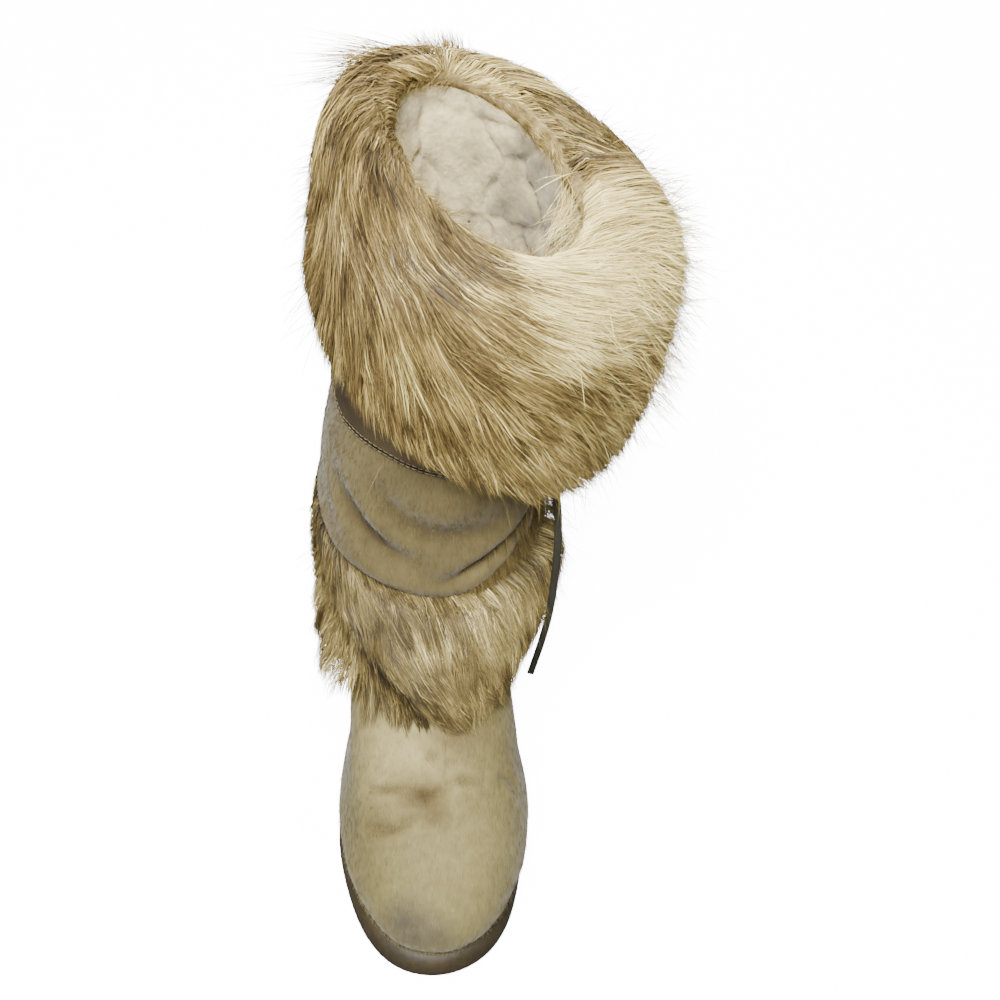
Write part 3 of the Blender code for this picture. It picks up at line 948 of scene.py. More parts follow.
def openFur(name, apron):
    # the outer sheet of a fur node, with its lower edge drawn down as an apron for the tips to follow and
    # its upper edge drawn in and up, where the hair springs from; "along" carries the apron down the hide
    mesh = nodeCopy(name)
    mesh.normal_update()

    def outer(face):
        facing = np.array(face.normal) @ outwards(np.array(face.calc_center_median()))
        return (facing > -0.15 or face.normal.z > 0.75) and face.normal.z > -0.6

    keepFaces(mesh, outer)
    lower, upper = openings(mesh)
    hem = sorted((angleOf(np.array(vert.co)), vert.co.z) for item in lower for vert in item.verts)
    last, tips = drawnOut(mesh, lower)
    for vert in tips:
        moveOut(vert, apron["out"], -apron["drop"])
    _, brow = drawnOut(mesh, upper)
    for vert in brow:
        moveOut(vert, -apron["in"], apron["rise"])
    brow = [vert.co.copy() for vert in brow]
    for step, off in apron.get("along", ()):
        last, moved = drawnOut(mesh, last)
        places = np.array([vert.co for vert in moved])
        down = combedDirection(places, nearestOn(hideTree, places)[1], np.zeros(len(places)))
        places, normals = nearestOn(hideTree, places + down * step)
        for vert, place in zip(moved, places + normals * off):
            vert.co = place
    faceOut(mesh)
    return smoothed(mesh, 1), list(zip(*hem)), brow


def addUnderFur(name, piece, shrink, comb=None, hem=None):
    # the fur's body under its hair, drawn in where it shows, and up where the tips end above its own hem;
    # its dark colour is painted shade deep in the fur
    mesh = smoothed(nodeCopy(name), 1)
    if hem:
        points = pointsOf(mesh)
        low = around(points, twoDegrees, edgeHeights(points))
        up = np.maximum(-around(points, *zip(*hem)), 0)
        points[:, 2] += 1.3 * up * np.clip(1 - (points[:, 2] - low) / 0.04, 0, 1)
        setPoints(mesh, points)
    points, normals = pointsOf(mesh), normalsOf(mesh)
    facing = np.clip(np.maximum((normals * outwards(points)).sum(axis=1), normals[:, 2]) + 0.3, 0, 1)
    if comb:
        shrink = shrink + np.maximum(-readComb(comb, points)[4], 0)
    setPoints(mesh, points - normals * (shrink * facing)[:, None])
    addPiece(piece, meshOf(piece, mesh), "long_fur", shadedUnderFur, stands=(name,))


rimRoll = {
    "places": 96, "sides": 12, "halfWidth": 0.0048, "halfHeight": 0.0052, "above": 0.0012, "wall": 0.0068,
}


def addRimRoll():
    # the fur's turned edge: it covers the top of the hide's wall all round the mouth
    points = nodePoints("upper", upperTop - 0.04)
    angles = angleOf(points)
    far = np.linalg.norm(points[:, :2] - shaftCentre(points), axis=1)
    ring = []
    for i in range(rimRoll["places"]):
        near = beside(angles, 360 * i / rimRoll["places"], 6)
        top = points[near][:, 2].max()
        ring.append((top, far[near & (points[:, 2] > top - 0.004)].max()))
    ring = sum(np.roll(ring, shift, axis=0) for shift in range(-2, 3)) / 5
    mesh = bmesh.new()
    loops = []
    for i, (top, reach) in enumerate(ring):
        angle = 2 * math.pi * i / rimRoll["places"]
        away = np.array([math.sin(angle), -math.cos(angle), 0])
        middle = np.array([0, 0, top + rimRoll["above"]])
        middle[:2] = shaftCentre(middle)
        middle += away * (reach - rimRoll["wall"] / 2)
        loop = []
        for k in range(rimRoll["sides"]):
            turn = 2 * math.pi * k / rimRoll["sides"]
            across = away * math.cos(turn) * rimRoll["halfWidth"]
            rise = np.array([0, 0, math.sin(turn) * rimRoll["halfHeight"]])
            loop.append(mesh.verts.new(middle + across + rise))
        loops.append(loop)
    joinRings(mesh, loops, closed=True)
    faceOut(mesh)
    walked = mesh.copy()
    addPiece("collarRimRoll", meshOf("collarRimRoll", mesh), "long_fur", rimFur)
    return walked


# Each row of a comb: angle, height, turn from straight down towards the growing angle, lift, tone, length,
# and how far the hair's surface stands off the fur's own form.
collarFur = {
    "count": 70000, "steps": 3, "length": 0.04, "width": 0.00042, "depth": 0.0045, "proud": 0.0015,
    "rootDepth": 0.005, "edgeReach": 0.012, "ragged": 0.3, "raggedScale": 110, "scatter": 0.16, "sway": 0.2,
    "swayScale": 70,
    # how unevenly the tips end, how far from the hem no hair starts, how far the body under it is drawn in
    "hemLoose": (-0.006, 0.004), "hemWaves": ((0.007, 130, 3),), "bare": 0.006, "under": 0.008,
    "apron": {"out": -0.002, "drop": 0.02, "in": 0, "rise": 0.0001},
    # each size of lock: how many, how far its tips close, how its tone differs
    "locks": ((9000, 0.55, 0.09), (1300, 0.5, 0.1)), "wave": 0.0004, "roll": 0.7, "toneSpread": 0.13,
    "patchTone": 0.14, "patchScale": 45, "deepShadeTone": 0.34,
    # Some tones paint light: those above 1 at the outer front top (13 to 65 degrees) are partly the hair's
    # cream colour and partly a painted highlight, those of the top rows at the back (132 to 180 degrees)
    # are raised as painted light on the top, and those of the low rows at the outer front (35 to 65
    # degrees, up to 0.29 high) are raised to paint light into the shade under the collar.
    "comb": ((-90, 0.352, 72, 0.03, 0.52, 1, 0.002), (-90, 0.325, 38, 0.04, 0.5, 1, 0.001),
        (-90, 0.295, 8, 0.04, 0.52, 1, -0.001), (-90, 0.26, 0, 0.04, 0.46, 0.9, -0.003),
        (-60, 0.352, 64, 0.03, 0.53, 1, 0.001), (-60, 0.328, 34, 0.04, 0.5, 1, 0),
        (-60, 0.3, 10, 0.04, 0.6, 1, -0.001), (-60, 0.265, 3, 0.04, 0.55, 0.9, -0.002),
        (-33, 0.35, 52, 0.03, 0.57, 1.1, 0), (-30, 0.325, 28, 0.04, 0.53, 1.1, 0),
        (-30, 0.285, 14, 0.05, 0.5, 1, 0), (-30, 0.258, 14, 0.06, 0.58, 1, 0),
        (0, 0.352, 68, 0.03, 0.62, 1.1, 0), (0, 0.33, 48, 0.04, 0.56, 1.1, 0),
        (13, 0.344, 64, 0.04, 1.16, 1, 0), (3, 0.285, 26, 0.06, 0.57, 1, 0),
        (3, 0.255, 22, 0.08, 0.66, 1, 0), (25, 0.35, 75, 0.04, 0.9, 1, 0),
        (22, 0.335, 58, 0.06, 1.22, 1, 0), (22, 0.29, 36, 0.08, 0.66, 1, 0),
        (45, 0.35, 70, 0.1, 1.1, 0.9, 0), (45, 0.33, 60, 0.14, 1.04, 0.9, 0),
        (42, 0.29, 40, 0.14, 0.78, 0.9, 0), (35, 0.25, 25, 0.12, 0.7, 0.9, 0),
        (65, 0.35, 30, 0.16, 1.12, 0.8, -0.001), (65, 0.325, 35, 0.2, 0.98, 0.9, 0),
        (65, 0.28, 20, 0.16, 0.8, 0.9, 0), (65, 0.25, 15, 0.14, 0.74, 0.9, 0),
        (82, 0.352, 12, 0.12, 0.88, 0.8, -0.004), (90, 0.325, 0, 0.14, 0.74, 0.9, -0.003),
        (90, 0.275, 6, 0.12, 0.54, 0.9, -0.001), (108, 0.352, -42, 0.08, 0.78, 0.8, -0.004),
        (115, 0.3, -20, 0.08, 0.62, 1, -0.004), (132, 0.355, -62, 0.05, 0.8, 0.9, -0.005),
        (150, 0.355, -70, 0.05, 0.9, 1, -0.003), (150, 0.3, -25, 0.06, 0.55, 1, -0.002),
        (180, 0.355, -68, 0.05, 0.9, 1, 0.001), (180, 0.3, -15, 0.05, 0.52, 1, 0),
        (-150, 0.355, 62, 0.06, 0.68, 1, 0.004), (-150, 0.3, 10, 0.05, 0.5, 1, 0.003),
        (-120, 0.352, 72, 0.05, 0.56, 1, 0.006), (-120, 0.325, 40, 0.05, 0.52, 1, 0.003),
        (-120, 0.295, 8, 0.04, 0.48, 1, 0.001), (-120, 0.265, 0, 0.04, 0.44, 0.9, 0)),
}
# how far the tips hang past the fur's own hem
collarHem = (
    (-120, -0.005), (-80, -0.009), (-50, -0.009), (-25, -0.006), (0, 0), (30, 0.006), (70, 0.004),
    (110, 0.002), (180, 0),
)
rimHair = {
    "count": 15000, "length": 0.019, "depth": 0.0012, "proud": 0.0012, "rootDepth": 0.0008,
    "locks": ((2200, 0.4, 0.07),), "deepShadeTone": 0.16,
    # how near the rim it grows
    "reach": 0.009,
    # how far along the colours its roots start, so they get less of the painted shade at the root
    "shade": 0.3,
}
collarSectors = (
    ("Front", -40, 20), ("FrontOuter", 20, 70), ("Outer", 70, 140), ("Back", 140, 220), ("Inner", 220, 320),
)
# Loose hair: its tone, the angle and height of its roots, how wide they lie, where it points (out, around,
# up), its length, droop, count and how much it fans.
strays = (
    # wisps off the back inner corner
    (0.66, -150, 0.354, 0.007, (0.55, 0.8, 0.1), 0.04, 0.003, 200, 0.09),
    (0.62, -142, 0.352, 0.008, (0.6, 0.75, 0.02), 0.026, 0.005, 130, 0.12),
    (0.58, -140, 0.345, 0.012, (0.8, 0.6, 0.05), 0.02, 0.006, 110, 0.22),
    (0.5, -105, 0.325, 0.014, (0.9, 0.3, -0.1), 0.018, 0.01, 100, 0.3),
    (0.5, -95, 0.29, 0.014, (0.7, 0.2, -0.5), 0.018, 0.008, 80, 0.3),
    # the tuft at the back
    (0.62, -174, 0.352, 0.0035, (0.8, 0, 0.5), 0.011, 0, 200, 0.14),
    (0.66, -168, 0.354, 0.008, (0.7, 0.25, 0.3), 0.013, 0.003, 400, 0.35),
    (0.66, 150, 0.354, 0.014, (0.7, -0.5, 0.3), 0.01, 0.003, 110, 0.3),
    # the outer side, where it stands off
    (0.98, 50, 0.335, 0.016, (1, 0.1, 0.15), 0.022, 0.004, 260, 0.3),
    (0.95, 68, 0.33, 0.016, (1, 0.2, 0.1), 0.024, 0.005, 320, 0.3),
    (0.8, 88, 0.325, 0.016, (1, 0.3, 0.1), 0.02, 0.005, 240, 0.3),
    (0.72, 60, 0.295, 0.018, (0.9, 0.15, -0.45), 0.024, 0.004, 300, 0.32),
    (0.6, 75, 0.27, 0.018, (0.8, 0.1, -0.75), 0.024, 0.004, 300, 0.3),
    (0.55, 35, 0.262, 0.02, (0.5, 0.15, -0.95), 0.02, 0.003, 260, 0.25),
    (0.6, 120, 0.32, 0.02, (0.9, 0.1, 0.1), 0.014, 0.005, 160, 0.3),
)
# White hair that hangs inside the mouth, by its outer end, and a soft fringe round the rim: tone, first and
# last angle, and the rest as above.
mouthHair = (
    (0.99, (50, 100), (-0.3, -0.85, -0.5), 0.026, 0.004, 130, 0.22),
    (0.99, (58, 90), (-0.8, -0.45, -0.25), 0.018, 0.008, 45, 0.35),
    (0.72, (-75, 50), (-0.7, 0.7, 0.45), 0.006, 0.003, 1000, 0.3),
    (0.75, (100, 190), (-0.3, -0.9, 0.3), 0.008, 0.002, 500, 0.25),
    (0.62, (190, 285), (-0.4, 0.9, 0.3), 0.008, 0.003, 500, 0.25),
)


ankleFur = {
    "steps": 3, "width": 0.00042, "depth": 0.003, "proud": 0.001, "rootDepth": 0.004, "edgeReach": 0.012,
    "ragged": 0.35, "raggedScale": 120, "scatter": 0.13, "sway": 0.3, "swayScale": 70, "wave": 0.0006,
    "roll": 0.7, "toneSpread": 0.14, "patchTone": 0.14, "patchScale": 50, "deepShadeTone": 0.3,
    # the furrow, from the inner side down to the middle of the hem: the flap above it lies over the rest
    "furrow": ((-0.06, -0.032, 0.136), (-0.053, -0.056, 0.126), (-0.047, -0.07, 0.12),
        (-0.042, -0.083, 0.117), (-0.033, -0.094, 0.119), (-0.023, -0.103, 0.119), (-0.016, -0.112, 0.114),
        (-0.008, -0.119, 0.107), (0.002, -0.124, 0.096)),
    # each coat: first and last angle, which side of the furrow, and what differs in it
    "coats": (
        (-75, 75, 0, {"count": 3000, "length": 0.022, "locks": ((600, 0.5, 0.06),),
            "comb": ((-60, 0.12, 20, 0.02, 0.16, 1, -0.003), (0, 0.12, 25, 0.02, 0.2, 1, -0.003),
            (60, 0.12, 0, 0.02, 0.24, 1, -0.002))}),
        (60, 285, 0, {"count": 7500, "length": 0.03, "locks": ((1400, 0.55, 0.08), (160, 0.3, 0.07)),
            "comb": ((80, 0.12, -8, 0.1, 0.48, 1, 0.001), (130, 0.12, 0, 0.05, 0.5, 1, 0),
            (180, 0.12, 0, 0.05, 0.52, 1, 0), (-130, 0.12, 5, 0.05, 0.5, 1, -0.001),
            (-90, 0.12, 8, 0.08, 0.48, 1, 0))}),
        # below the furrow, hanging straight down over the vamp's inner side: its rows beside the furrow are
        # dark as painted shade under the flap's edge, and its darkest rows by the middle of the hem paint
        # the shadow where the furrow ends
        (-110, 8, -1, {"count": 7500, "length": 0.031, "locks": ((700, 0.65, 0.09), (80, 0.55, 0.09)),
            "comb": ((-75, 0.132, 12, 0.04, 0.1, 0.5, 0.001), (-57, 0.124, 12, 0.04, 0, 0.5, -0.002),
            (-45, 0.118, 10, 0.04, -0.1, 0.5, -0.003), (-34, 0.115, 10, 0.04, -0.1, 0.5, -0.004),
            (-28, 0.115, 10, 0.04, -0.1, 0.5, -0.004), (-22, 0.115, 10, 0.04, -0.1, 0.5, -0.004),
            (-15, 0.1145, 12, 0.04, -0.1, 0.5, -0.004), (-9, 0.11, 12, 0.04, -0.1, 0.5, -0.004),
            (-3, 0.104, 16, 0.03, -0.3, 0.5, -0.004), (3, 0.093, 16, 0.03, -0.3, 0.5, -0.004),
            (-105, 0.112, 4, 0.08, 0.6, 1.1, 0.008), (-80, 0.112, 2, 0.06, 0.64, 1.1, 0.013),
            (-62, 0.108, 2, 0.06, 0.76, 1.2, 0.018), (-48, 0.103, 2, 0.06, 0.84, 1.3, 0.02),
            (-36, 0.101, 2, 0.06, 0.84, 1.3, 0.018), (-24, 0.102, 6, 0.06, 0.76, 1.2, 0.007),
            (-14, 0.1, 8, 0.06, 0.66, 1, 0.001), (-5, 0.096, 10, 0.04, 0.36, 0.8, -0.001),
            (-60, 0.096, 2, 0.06, 0.8, 1.2, 0.016), (-44, 0.093, 2, 0.06, 0.84, 1.3, 0.018),
            (-30, 0.091, 4, 0.06, 0.78, 1.2, 0.01), (-14, 0.091, 8, 0.06, 0.64, 1, 0.001),
            (4, 0.088, 10, 0.03, 0, 0.7, -0.003), (9, 0.087, 10, 0.02, 0, 0.7, -0.003))}),
        # the flap above it, which lies along the furrow and ends a little past it
        (-100, 26, 1, {"past": -0.002, "hemLoose": (-0.003, 0.003), "hemWaves": ((0.006, 140, 3),),
            "count": 12000, "length": 0.036, "locks": ((800, 0.65, 0.1), (90, 0.55, 0.11)),
            "comb": ((-90, 0.14, 20, 0.08, 0.44, 0.8, 0.002), (-70, 0.138, 32, 0.08, 0.48, 0.8, 0.002),
            (-46, 0.132, 42, 0.05, 0.5, 0.9, 0.001), (-46, 0.122, 46, 0.04, 0.44, 0.8, 0.001),
            (-20, 0.13, 34, 0.05, 0.52, 0.9, 0.001), (-20, 0.118, 42, 0.04, 0.42, 0.8, 0.001),
            (0, 0.13, 20, 0.05, 0.53, 0.9, 0.002), (-4, 0.11, 36, 0.04, 0.48, 0.8, 0.002),
            (18, 0.13, 8, 0.08, 0.58, 1, 0.002), (12, 0.108, 28, 0.05, 0.52, 0.9, 0.002),
            (14, 0.092, 12, 0.03, 0.42, 0.8, 0.001))}),
        # the outer front, hanging straight down
        (10, 80, 0, {"count": 8000, "length": 0.034, "locks": ((650, 0.65, 0.1), (70, 0.55, 0.1)),
            "comb": ((15, 0.13, 8, 0.08, 0.62, 1.1, 0.001), (30, 0.13, -2, 0.08, 0.62, 1.1, 0.001),
            (50, 0.13, -10, 0.12, 0.62, 1, 0.002), (70, 0.13, -12, 0.18, 0.6, 1, 0.003),
            (30, 0.1, -4, 0.08, 0.54, 0.9, 0), (50, 0.1, -14, 0.16, 0.58, 0.9, 0.001),
            (70, 0.1, -14, 0.2, 0.52, 0.9, 0.002))}),
    ),
    "hemLoose": (-0.003, 0.002), "hemWaves": ((0.006, 140, 3), (0.005, 60, 4)), "bare": 0.001,
    "under": 0.005,
    "apron": {"out": 0, "drop": 0.001, "in": 0.003, "rise": 0.004, "along": ((0.006, 0.0035),
        (0.006, 0.0025), (0.006, 0.002), (0.006, 0.002), (0.006, 0.002))},
    # where the tips hang past the fur's own hem
    "hem": ((-120, 0.004), (-90, 0.01), (-60, 0.019), (-45, 0.023), (-31, 0.022), (-20, 0.013),
        (-12, 0.01), (-1, 0.009), (8, 0.01), (21, 0.005), (30, 0.006), (45, 0.009), (60, 0.009),
        (90, 0.006), (180, 0.004)),
}
# hair that hangs from the end of the hide's roll by the outer front, so that the fur starts softly there
fringe = (
    (0.42, 26, 0.144, 0.005, (0.45, 0.1, -1), 0.011, 0, 500, 0.12),
    (0.38, 40, 0.149, 0.007, (0.45, -0.1, -1), 0.013, 0, 900, 0.12),
    (0.36, 54, 0.154, 0.008, (0.45, -0.2, -1), 0.015, 0, 1100, 0.12),
    (0.36, 70, 0.156, 0.008, (0.5, -0.2, -1), 0.016, 0, 900, 0.14),
)
ankleStrays = (
    (0.5, -75, 0.118, 0.014, (0.7, 0.2, -0.8), 0.02, 0.004, 160, 0.25),
    (0.55, -60, 0.105, 0.012, (0.5, 0.1, -0.9), 0.018, 0.003, 160, 0.25),
    (0.5, 62, 0.13, 0.016, (0.6, -0.2, -0.8), 0.022, 0.004, 220, 0.25),
    (0.5, 85, 0.135, 0.016, (0.7, -0.2, -0.7), 0.022, 0.004, 160, 0.25),
    (0.55, 25, 0.108, 0.012, (0.4, 0.1, -0.9), 0.016, 0.001, 160, 0.25),
    (0.6, -10, 0.112, 0.014, (0.5, 0.6, -0.7), 0.018, 0.002, 200, 0.25),
)


def trimAtHem(paths, hem, over):
    # strands that would hang past the hem are drawn back along their own way
    ends = around(paths[:, -1], *hem) - over
    drop = paths[:, 0, 2] - paths[:, -1, 2]
    spare = paths[:, 0, 2] - ends
    share = np.where(drop > 0.001, spare / np.maximum(drop, 0.001), 1.0)
    steps = paths.shape[1] - 1
    place = np.clip(share, 0.3, 1.0)[:, None] * np.arange(steps + 1)[None]
    below = np.minimum(place.astype(int), steps - 1)
    part = (place - below)[..., None]
    rows = np.arange(len(paths))[:, None]
    return paths[rows, below] * (1 - part) + paths[rows, below + 1] * part, share > 0.3


def joined(*meshes):
    whole = bmesh.new()
    for mesh in meshes:
        data = meshOf("part", mesh)
        whole.from_mesh(data)
        bpy.data.meshes.remove(data)
    return whole


def strayPaths(roots, normals, heading, length, droop, fan, rng):
    # loose strands: straight out of the surface along their heading, then drooping
    share = np.linspace(0, 1, 4)
    away = outwards(roots)
    aside = np.stack([-away[:, 1], away[:, 0], np.zeros(len(roots))], axis=1)
    ahead = heading[0] * away + heading[1] * aside + heading[2] * np.array([0, 0, 1.0])
    ahead = unit(unit(ahead) + rng.normal(0, fan, ahead.shape))
    lengths = length * rng.uniform(*hair["strayLengths"], len(roots))
    start = roots - normals * 0.001
    paths = start[:, None] + ahead[:, None] * (lengths[:, None] * share[None])[..., None]
    paths[..., 2] -= droop * share[None] ** 2
    faces = unit(np.cross(ahead, rng.normal(0, 1, ahead.shape)))
    return paths, np.repeat(faces[:, None], 4, axis=1)


def strayGroups(tree, groups, rng):
    grown = []
    for tone, angle, height, spread, heading, length, droop, count, fan in groups:
        turn = math.radians(angle)
        middle = np.array([0, 0, height])
        middle[:2] = shaftCentre(middle)
        middle += shaftRadius * np.array([math.sin(turn), -math.cos(turn), 0])
        roots, normals = nearestOn(tree, nearestOn(tree, [middle])[0] + rng.normal(0, spread, (count, 3)))
        grown.append((*strayPaths(roots, normals, heading, length, droop, fan, rng), np.full(count, tone)))
    return grown


def strayRibbons(name, groups, rng, material):
    paths, faces, tones = (np.concatenate(parts) for parts in zip(*groups))
    tones = np.clip(tones + rng.normal(0, hair["strayTones"], len(tones)), 0.01, 0.99)
    widths = hair["strayWidth"] * rng.uniform(*hair["strayWidths"], len(tones))
    ribbons(name, paths, faces, widths, tones, "long_fur", material)


def addStrays(tree, rim, rng):
    groups = strayGroups(tree, strays, rng)
    angles = angleOf(rim)
    for tone, ends, heading, length, droop, count, fan in mouthHair:
        chosen = rim[between(angles, *ends)]
        roots = chosen[rng.integers(0, len(chosen), count)] + rng.normal(0, 0.0015, (count, 3))
        away = outwards(roots)
        roots -= away * rimRoll["halfWidth"] * 0.9
        roots[:, 2] += rng.uniform(-0.5, 0.9, count) * rimRoll["halfHeight"]
        groups.append((*strayPaths(roots, -away, heading, length, droop, fan, rng), np.full(count, tone)))
    strayRibbons("collarStrays", groups, rng, collarHair)


def addCollarFur():
    rng = np.random.default_rng(7)
    sheet, hem, _ = openFur("fur_collar", collarFur["apron"])
    roll = addRimRoll()
    rim = pointsOf(roll).reshape(rimRoll["places"], rimRoll["sides"], 3).mean(axis=1)
    sheet = joined(sheet, roll)
    tree = BVHTree.FromBMesh(sheet)
    everywhere = cornersOf(sheet, lambda middles: middles[:, 2] > around(middles, *hem) + collarFur["bare"])
    sheet.free()
    normals = facingOf(everywhere)
    middles = everywhere.mean(axis=1)
    facing = (normals * outwards(middles)).sum(axis=1)
    edge = kdTree(rim)
    byRim = np.array([edge.find(middle)[2] for middle in middles]) < rimHair["reach"]
    coat = everywhere[(facing > -0.2) | (normals[:, 2] > 0.35)]
    crest = everywhere[byRim & (normals[:, 2] > -0.05)]
    grown = [growFur(collarFur, tree, coat, rng, edge), growFur({**collarFur, **rimHair}, tree, crest, rng)]
    paths, faces, widths, tones, roots = (np.concatenate(pair) for pair in zip(*grown))
    shade = np.repeat((0.0, rimHair["shade"]), [len(part[0]) for part in grown])
    over = hemNoise(collarFur, paths, rng) + around(paths[:, -1], *zip(*collarHem))
    paths, whole = trimAtHem(paths, hem, over)
    angles = angleOf(roots)
    for sector, first, last in collarSectors:
        chosen = whole & between(angles, first, last)
        parts = [part[chosen] for part in (paths, faces, widths, tones)]
        ribbons("collarFur" + sector, *parts, "long_fur", collarHair, shade[chosen])
    addStrays(tree, rim, rng)
    addUnderFur("fur_collar", "collarUnderFur", collarFur["under"], collarFur["comb"], collarHem)


addCollarFur()
print("collar fur made")


def addAnkleFur():
    rng = np.random.default_rng(11)
    sheet, hem, brow = openFur("ankle_fur", ankleFur["apron"])
    tree = BVHTree.FromBMesh(sheet)
    everywhere = cornersOf(sheet, lambda middles: middles[:, 2] > around(middles, *hem) + ankleFur["bare"])
    sheet.free()
    middles = everywhere.mean(axis=1)
    furrow = lineOn(tree, ankleFur["furrow"])[0]
    side = middles[:, 2] - np.interp(angleOf(middles), angleOf(furrow), furrow[:, 2])
    angles = angleOf(middles)
    edge = kdTree(brow)
    grown = []
    for first, last, way, coat in ankleFur["coats"]:
        chosen = between(angles, first, last) & (side * way >= 0)
        grown.append(growFur({**ankleFur, **coat}, tree, everywhere[chosen], rng, edge))
        if "past" in coat:
            paths, *others = grown.pop()
            over = coat["past"] + hemNoise(coat, paths, rng)
            line = (*angleOf(furrow), 12), (*furrow[:, 2], 0.080)
            grown.append((trimAtHem(paths, line, over)[0], *others))
    paths, faces, widths, tones, _ = (np.concatenate(parts) for parts in zip(*grown))
    over = around(paths[:, -1], *zip(*ankleFur["hem"])) + hemNoise(ankleFur, paths, rng)
    paths, whole = trimAtHem(paths, hem, over)
    ribbons("ankleFurHair", paths[whole], faces[whole], widths[whole], tones[whole], "long_fur", ankleHair)
    strayRibbons("ankleFringe", strayGroups(hideTree, fringe, rng), rng, ankleHair)
    strayRibbons("ankleStrays", strayGroups(tree, ankleStrays, rng), rng, ankleHair)
    addUnderFur("ankle_fur", "ankleUnderFur", ankleFur["under"])


addAnkleFur()
print("ankle fur made")

band = {
    "above": 0.0035, "rows": (0.0016, 0.0034), "stitch": 0.0024, "pitch": 0.003, "thread": 0.0004,
    "edge": 0.0008, "radius": 0.059, "reach": 0.09,
    # over what height the sag fades out, and how far the lowered part stays off the hide
    "sagOver": 0.016, "clear": 0.0012,
    # the angles between which the knot covers the stitches
    "bare": (38, 80),
}


def onBand(tree, angles, heights, off, above=0.0):
    # points on the band's outer face, found at a height a little above
    places = np.zeros((len(angles), 3))
    places[:, 2] = heights
    places[:, :2] = shaftCentre(places)
    turns = np.radians(angles)
    away = np.stack([np.sin(turns), -np.cos(turns), np.zeros(len(turns))], axis=1)
    places[:, 2] += above
    outside = places + away * band["reach"]
    found = nearestOn(tree, outside)[0]
    cast = [tree.ray_cast(Vector(place), Vector(-out)) for place, out in zip(outside, away)]
    hits = np.array([hit[0] if hit[0] is not None else other for hit, other in zip(cast, found)])
    hits[:, 2] = heights
    return hits + away * off


def tube(mesh, route, radius, sides, closed):
    rings = []
    count = len(route)
    turns = [2 * math.pi * k / sides for k in range(sides)]
    for i in range(count):
        after = route[(i + 1) % count] if closed else route[min(i + 1, count - 1)]
        before = route[i - 1] if closed or i else route[0]
        ahead = unit(after - before)
        up = unit(np.cross(ahead, outwards(route[i])))
        out = np.cross(up, ahead)
        size = radius if closed or 0 < i < count - 1 else radius * 0.5
        spokes = [size * (up * math.cos(turn) + out * math.sin(turn)) for turn in turns]
        rings.append([mesh.verts.new(route[i] + side) for side in spokes])
    joinRings(mesh, rings, closed)


def addBand():
    mesh = smoothed(nodeCopy("collar_band"), 1)
    points = pointsOf(mesh)
    low = around(points, twoDegrees, bandOwn)
    sag = low - around(points, twoDegrees, bandHeights)
    share = np.clip(1 - (points[:, 2] - low) / band["sagOver"], 0, 1)
    lowered = points - np.array([0, 0, 1.0]) * (sag * share)[:, None]
    for vert, place, moved in zip(mesh.verts, lowered, sag * share):
        if moved > 0.0002:
            near, normal, _, _ = hideTree.find_nearest(Vector(place))
            depth = (Vector(place) - near).dot(normal)
            place = place + np.array((normal.x, normal.y, 0)) * max(0, band["clear"] - depth)
        vert.co = place
    tree = BVHTree.FromBMesh(mesh)
    data = meshOf("leatherBand", mesh)
    addPiece("leatherBand", data, "brown_leather", brownLeather, stands=("collar_band",))
    fold = bmesh.new()
    tube(fold, onBand(tree, twoDegrees, bandHeights + 0.0006, 0.0, band["above"]), band["edge"], 8, True)
    faceOut(fold)
    addPiece("bandFold", meshOf("bandFold", fold), "brown_leather", brownLeather)
    seam = bmesh.new()
    girth = 2 * math.pi * band["radius"]
    half = 180 * band["stitch"] / girth
    count = int(girth / band["pitch"])
    for row in band["rows"]:
        for middle in (360 * i / count for i in range(count)):
            if band["bare"][0] < middle < band["bare"][1]:
                continue
            angles = np.array([middle - half, middle - half / 2, middle + half / 2, middle + half])
            level = np.interp(angles, twoDegrees, bandHeights, period=360) + row
            route = onBand(tree, angles, level, 0.0002)
            route[1:3] += outwards(route[1:3]) * 0.0003
            tube(seam, route, band["thread"] / 2, 6, False)
    faceOut(seam)
    addPiece("bandStitching", meshOf("bandStitching", seam), "brown_leather", thread)


addBand()
print("band made")

# The nap of the hide.
nap = {
    "count": 34000, "steps": 2, "length": 0.0044, "width": 0.00032, "between": (0.027, 0.262),
    "stray": 0.22, "lengths": (0.7, 1.3), "widths": (0.6, 1.3), "tones": (0.2, 1), "rise": (0.0003, 0.0009),
}
# the hide's lower edge: its hair hangs over the rubber
welt = {"count": 4000, "length": 0.0046, "above": 0.008}


def napDirection(places, normals):
    foot = np.clip((0.15 - places[:, 2]) / 0.05, 0, 1)[:, None]
    fall = np.array([0.1, 0, -1.0]) * (1 - foot) + np.array([0.0, -1.0, -0.25]) * foot
    return unit(fall - normals * (fall * normals).sum(axis=1)[:, None])


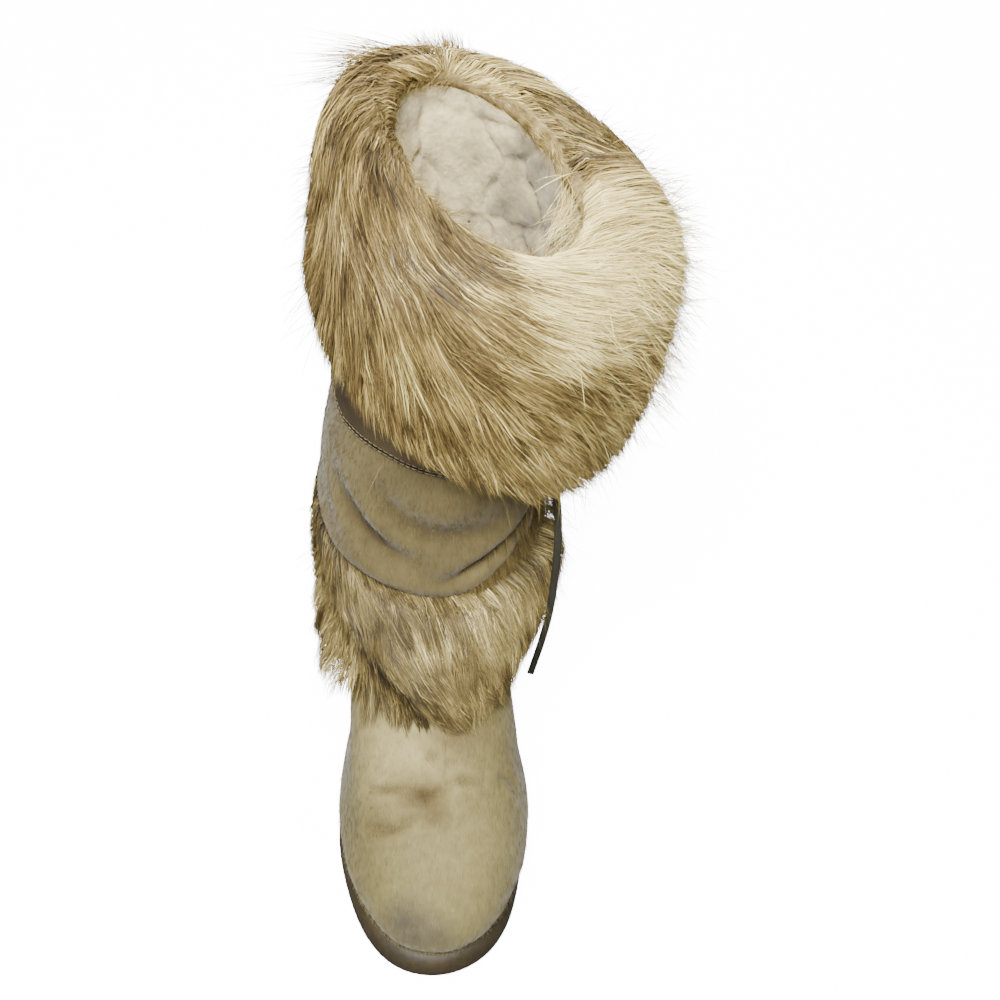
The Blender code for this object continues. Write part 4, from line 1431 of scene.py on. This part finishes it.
def addNap():
    rng = np.random.default_rng(5)
    mesh = bmesh.new()
    mesh.from_mesh(hideData)
    lowest, highest = nap["between"]
    everywhere = cornersOf(mesh, lambda middles: (middles[:, 2] < highest) & (middles[:, 2] > lowest))
    mesh.free()
    normals = facingOf(everywhere)
    middles = everywhere.mean(axis=1)
    onFoot = middles[:, 2:3] <= 0.12
    away = np.where(onFoot, unit(middles - np.array([0, -0.09, 0.05])), outwards(middles))
    everywhere = everywhere[(normals * away).sum(axis=1) > 0]
    low = everywhere[everywhere.mean(axis=1)[:, 2] < lowest + welt["above"]]
    roots = np.concatenate([scatter(everywhere, nap["count"], rng), scatter(low, welt["count"], rng)])
    lengths = np.repeat([nap["length"], welt["length"]], [nap["count"], welt["count"]])
    lengths = lengths * rng.uniform(*nap["lengths"], len(roots))
    hanging = np.repeat([0.0, 1.0], [nap["count"], welt["count"]])[:, None]
    stray = rng.normal(0, nap["stray"], len(roots))

    def direction(places, normals):
        lying = napDirection(places, normals) * (1 - 0.75 * hanging)
        ahead = unit(lying + hanging * np.array([0, 0, -1.0]))
        return unit(ahead + np.cross(normals, ahead) * stray[:, None])

    paths, normals = walk(hideTree, roots, lengths, nap["steps"], direction)
    # nap hair that grows in a crease is darkened by the painted crease shade
    shadeMarks = np.zeros(len(hideData.vertices), np.float32)
    hideData.attributes["paintedCreaseShade"].data.foreach_get("value", shadeMarks)
    places = np.zeros(len(shadeMarks) * 3, np.float32)
    hideData.vertices.foreach_get("co", places)
    shaded = shadeMarks > 0.05
    nearest = kdTree(places.reshape(-1, 3)[shaded])
    found = [nearest.find(root)[1:] for root in roots]
    creaseShade = np.array([shadeMarks[shaded][number] if gap < 0.002 else 0 for number, gap in found])
    free = roots[:, None] + (paths[:, 1:2] - paths[:, :1]) * np.array([0, 1.0, 2.0])[None, :, None]
    paths = np.where(hanging[:, None] > 0, free, paths)
    share = np.linspace(0, 1, nap["steps"] + 1)
    rise = rng.uniform(*nap["rise"], len(roots)) * (1 + 1.5 * hanging[:, 0])
    paths = paths + normals * (rise[:, None] * (share[None] * 1.3 - 0.3))[..., None]
    widths = nap["width"] * rng.uniform(*nap["widths"], len(roots))
    tones = np.maximum(rng.uniform(*nap["tones"], len(roots)), 0.7 * hanging[:, 0]) * (1 - creaseShade)
    ribbons("hideNapHair", paths, normals, widths, tones, "haired_hide", hideNap)


addNap()
print("nap made")

stage = {
    "paper": 0.9, "glow": 13.0, "above": 0.5, "below": 0.28, "radius": 2.2,
    # each step of the curve: how much wider and how much higher
    "curve": ((1.16, 0.08), (1.1, 0.3), (1.03, 0.5), (1.0, 2.6)),
}
# each lamp: its place, size and power
lamps = (
    ("key", (-0.3, -0.55, 1.65), 0.6, 92), ("fill", (-0.9, -1.2, 0.6), 1.0, 8),
    ("back", (0.5, 1.1, 1.1), 1.0, 24),
)


def addStage():
    # a round floor of pale paper that curves up far behind the object; it lights nothing itself
    mesh = bmesh.new()
    bmesh.ops.create_circle(mesh, cap_ends=True, segments=64, radius=stage["radius"])
    edges = list(mesh.edges)
    for wider, rise in stage["curve"]:
        edges, moved = drawnOut(mesh, edges)
        for vert in moved:
            vert.co = (vert.co.x * wider, vert.co.y * wider, vert.co.z + rise)
    faceOut(mesh)
    bmesh.ops.reverse_faces(mesh, faces=mesh.faces)
    paper, tree, shader = newMaterial("paper", 0.9, specular=0.1)
    shader.inputs["Base Color"].default_value = (stage["paper"], stage["paper"], stage["paper"], 1)
    shader.inputs["Emission Color"].default_value = (1, 1, 1, 1)
    shader.inputs["Emission Strength"].default_value = stage["glow"]
    floor = addObject("floor", meshOf("floor", mesh, smooth=False), paper)
    floor.visible_diffuse = False
    floor.visible_glossy = False
    floor.visible_shadow = False
    # soft light from the ceiling, less from below
    world = bpy.data.worlds.new("studio")
    bpy.context.scene.world = world
    world.use_nodes = True
    tree = world.node_tree
    height = partsOf(tree, addNode(tree, "TexCoord", {}).outputs["Generated"])["Z"]
    values = {"From Min": -0.3, "From Max": 0.7, "To Min": stage["below"], "To Max": stage["above"]}
    strength = addNode(tree, "MapRange", {"Value": height, **values}).outputs["Result"]
    tree.nodes["Background"].inputs["Color"].default_value = (1, 1, 1, 1)
    tree.links.new(strength, tree.nodes["Background"].inputs["Strength"])


def addLamps():
    for name, place, size, power in lamps:
        data = bpy.data.lights.new(name, "AREA")
        data.size = size
        data.energy = power
        made = bpy.data.objects.new(name, data)
        made.location = place
        made.rotation_euler = (Vector((0, -0.05, 0.2)) - Vector(place)).to_track_quat("-Z", "Y").to_euler()
        bpy.context.scene.collection.objects.link(made)


addStage()
addLamps()
print("stage set")
